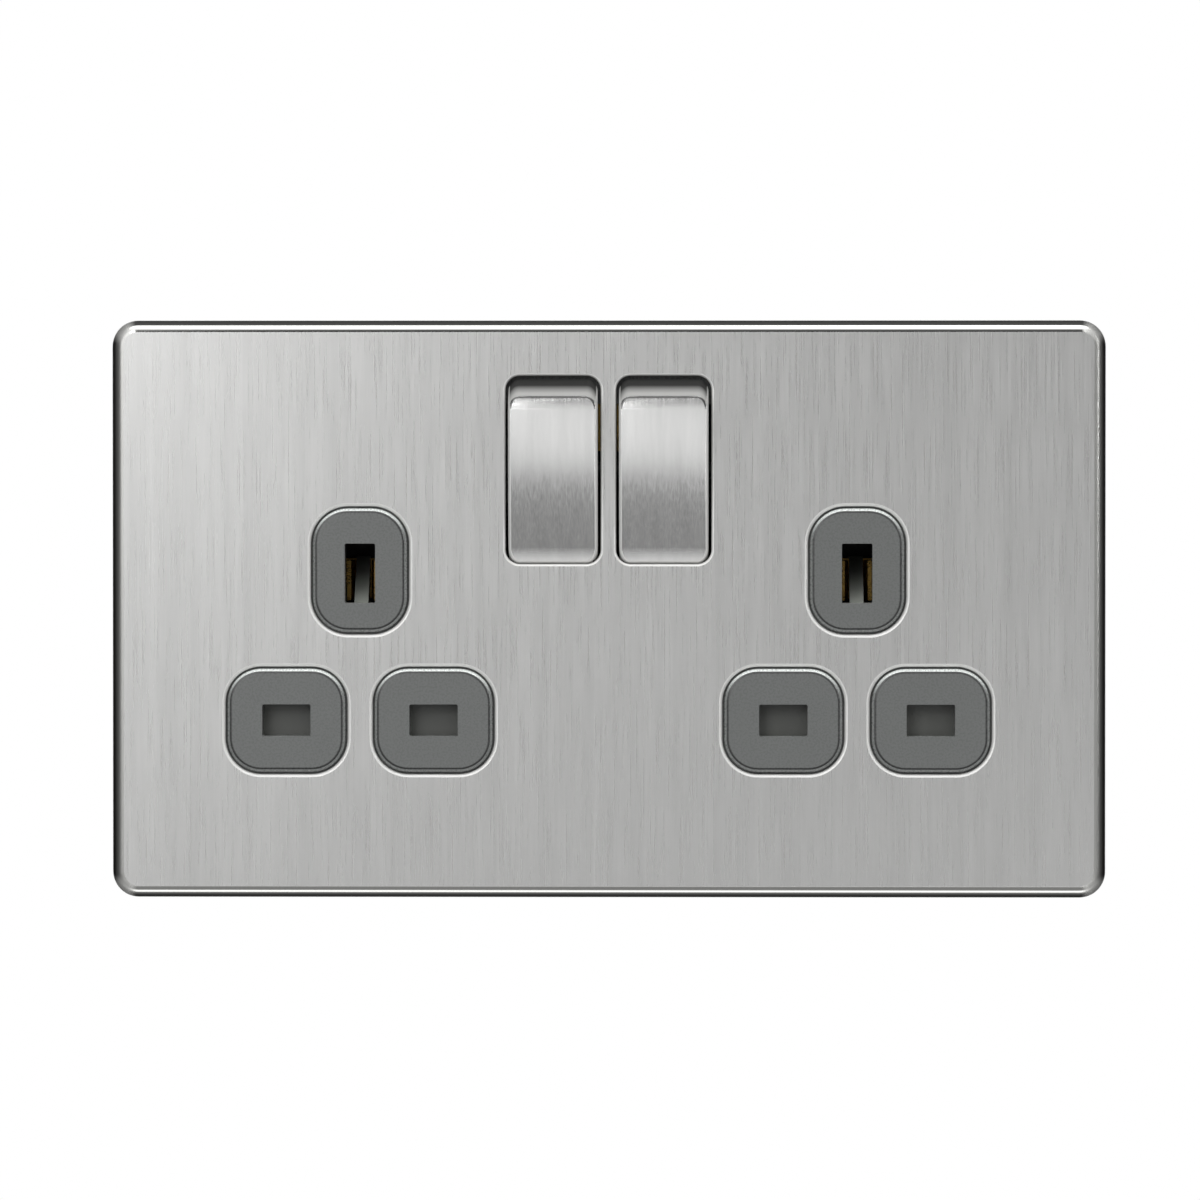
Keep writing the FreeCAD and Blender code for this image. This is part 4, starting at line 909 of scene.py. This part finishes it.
    def camera(self, studio):
        """Placed for a square picture, with the plate at its measured scale."""
        scale = studio.pixels_per_mm
        left, top = ORIGIN_PX
        aim = Vector(((IMAGE / 2 - left) / scale, PLATE_FACE / MM, (top - IMAGE / 2) / scale)) * MM
        az = studio.azimuth
        el = studio.elevation
        back = Vector((math.sin(az) * math.cos(el), -math.cos(az) * math.cos(el), math.sin(el)))
        data = bpy.data.cameras.new("camera")
        data.sensor_width = SENSOR
        data.lens = SENSOR * studio.distance / (IMAGE / scale * MM)
        data.clip_start, data.clip_end = CLIP
        cam = bpy.data.objects.new("camera", data)
        cam.location = aim + back * studio.distance
        cam.rotation_euler = (-back).to_track_quat("-Z", "Y").to_euler()
        bpy.context.scene.collection.objects.link(cam)
        bpy.context.scene.camera = cam
        bpy.context.scene.view_settings.view_transform = "Standard"


class SOCKET_PT_panel(bpy.types.Panel):
    """Lists the socket's operators and settings"""

    bl_idname = "SOCKET_PT_panel"
    bl_label = "Twin wall socket"
    bl_space_type = "VIEW_3D"
    bl_region_type = "UI"
    bl_category = "Socket"

    def draw(self, context):
        scene = context.scene
        for group in (scene.socket_sizes, scene.socket_colours, scene.socket_studio):
            box = self.layout.box()
            for key in group.bl_rna.properties.keys():
                if key not in ("rna_type", "name"):
                    box.prop(group, key)
        for op in OPERATORS:
            self.layout.operator(op.bl_idname)


OPERATORS = (
    SOCKET_OT_finishes, SOCKET_OT_plate, SOCKET_OT_rockers, SOCKET_OT_inserts, SOCKET_OT_springs,
    SOCKET_OT_studio,
)
CLASSES = (SocketSizes, SocketColours, SocketStudio, *OPERATORS, SOCKET_PT_panel)


def register():
    for cls in CLASSES:
        bpy.utils.register_class(cls)
    bpy.types.Scene.socket_sizes = PointerProperty(type=SocketSizes)
    bpy.types.Scene.socket_colours = PointerProperty(type=SocketColours)
    bpy.types.Scene.socket_studio = PointerProperty(type=SocketStudio)


def unregister():
    del bpy.types.Scene.socket_studio
    del bpy.types.Scene.socket_colours
    del bpy.types.Scene.socket_sizes
    for cls in reversed(CLASSES):
        bpy.utils.unregister_class(cls)


def main():
    register()
    bpy.ops.socket.finishes()
    bpy.ops.socket.plate()
    bpy.ops.socket.rockers()
    bpy.ops.socket.inserts()
    bpy.ops.socket.springs()
    bpy.ops.socket.studio()


if __name__ == "__main__":
    main()
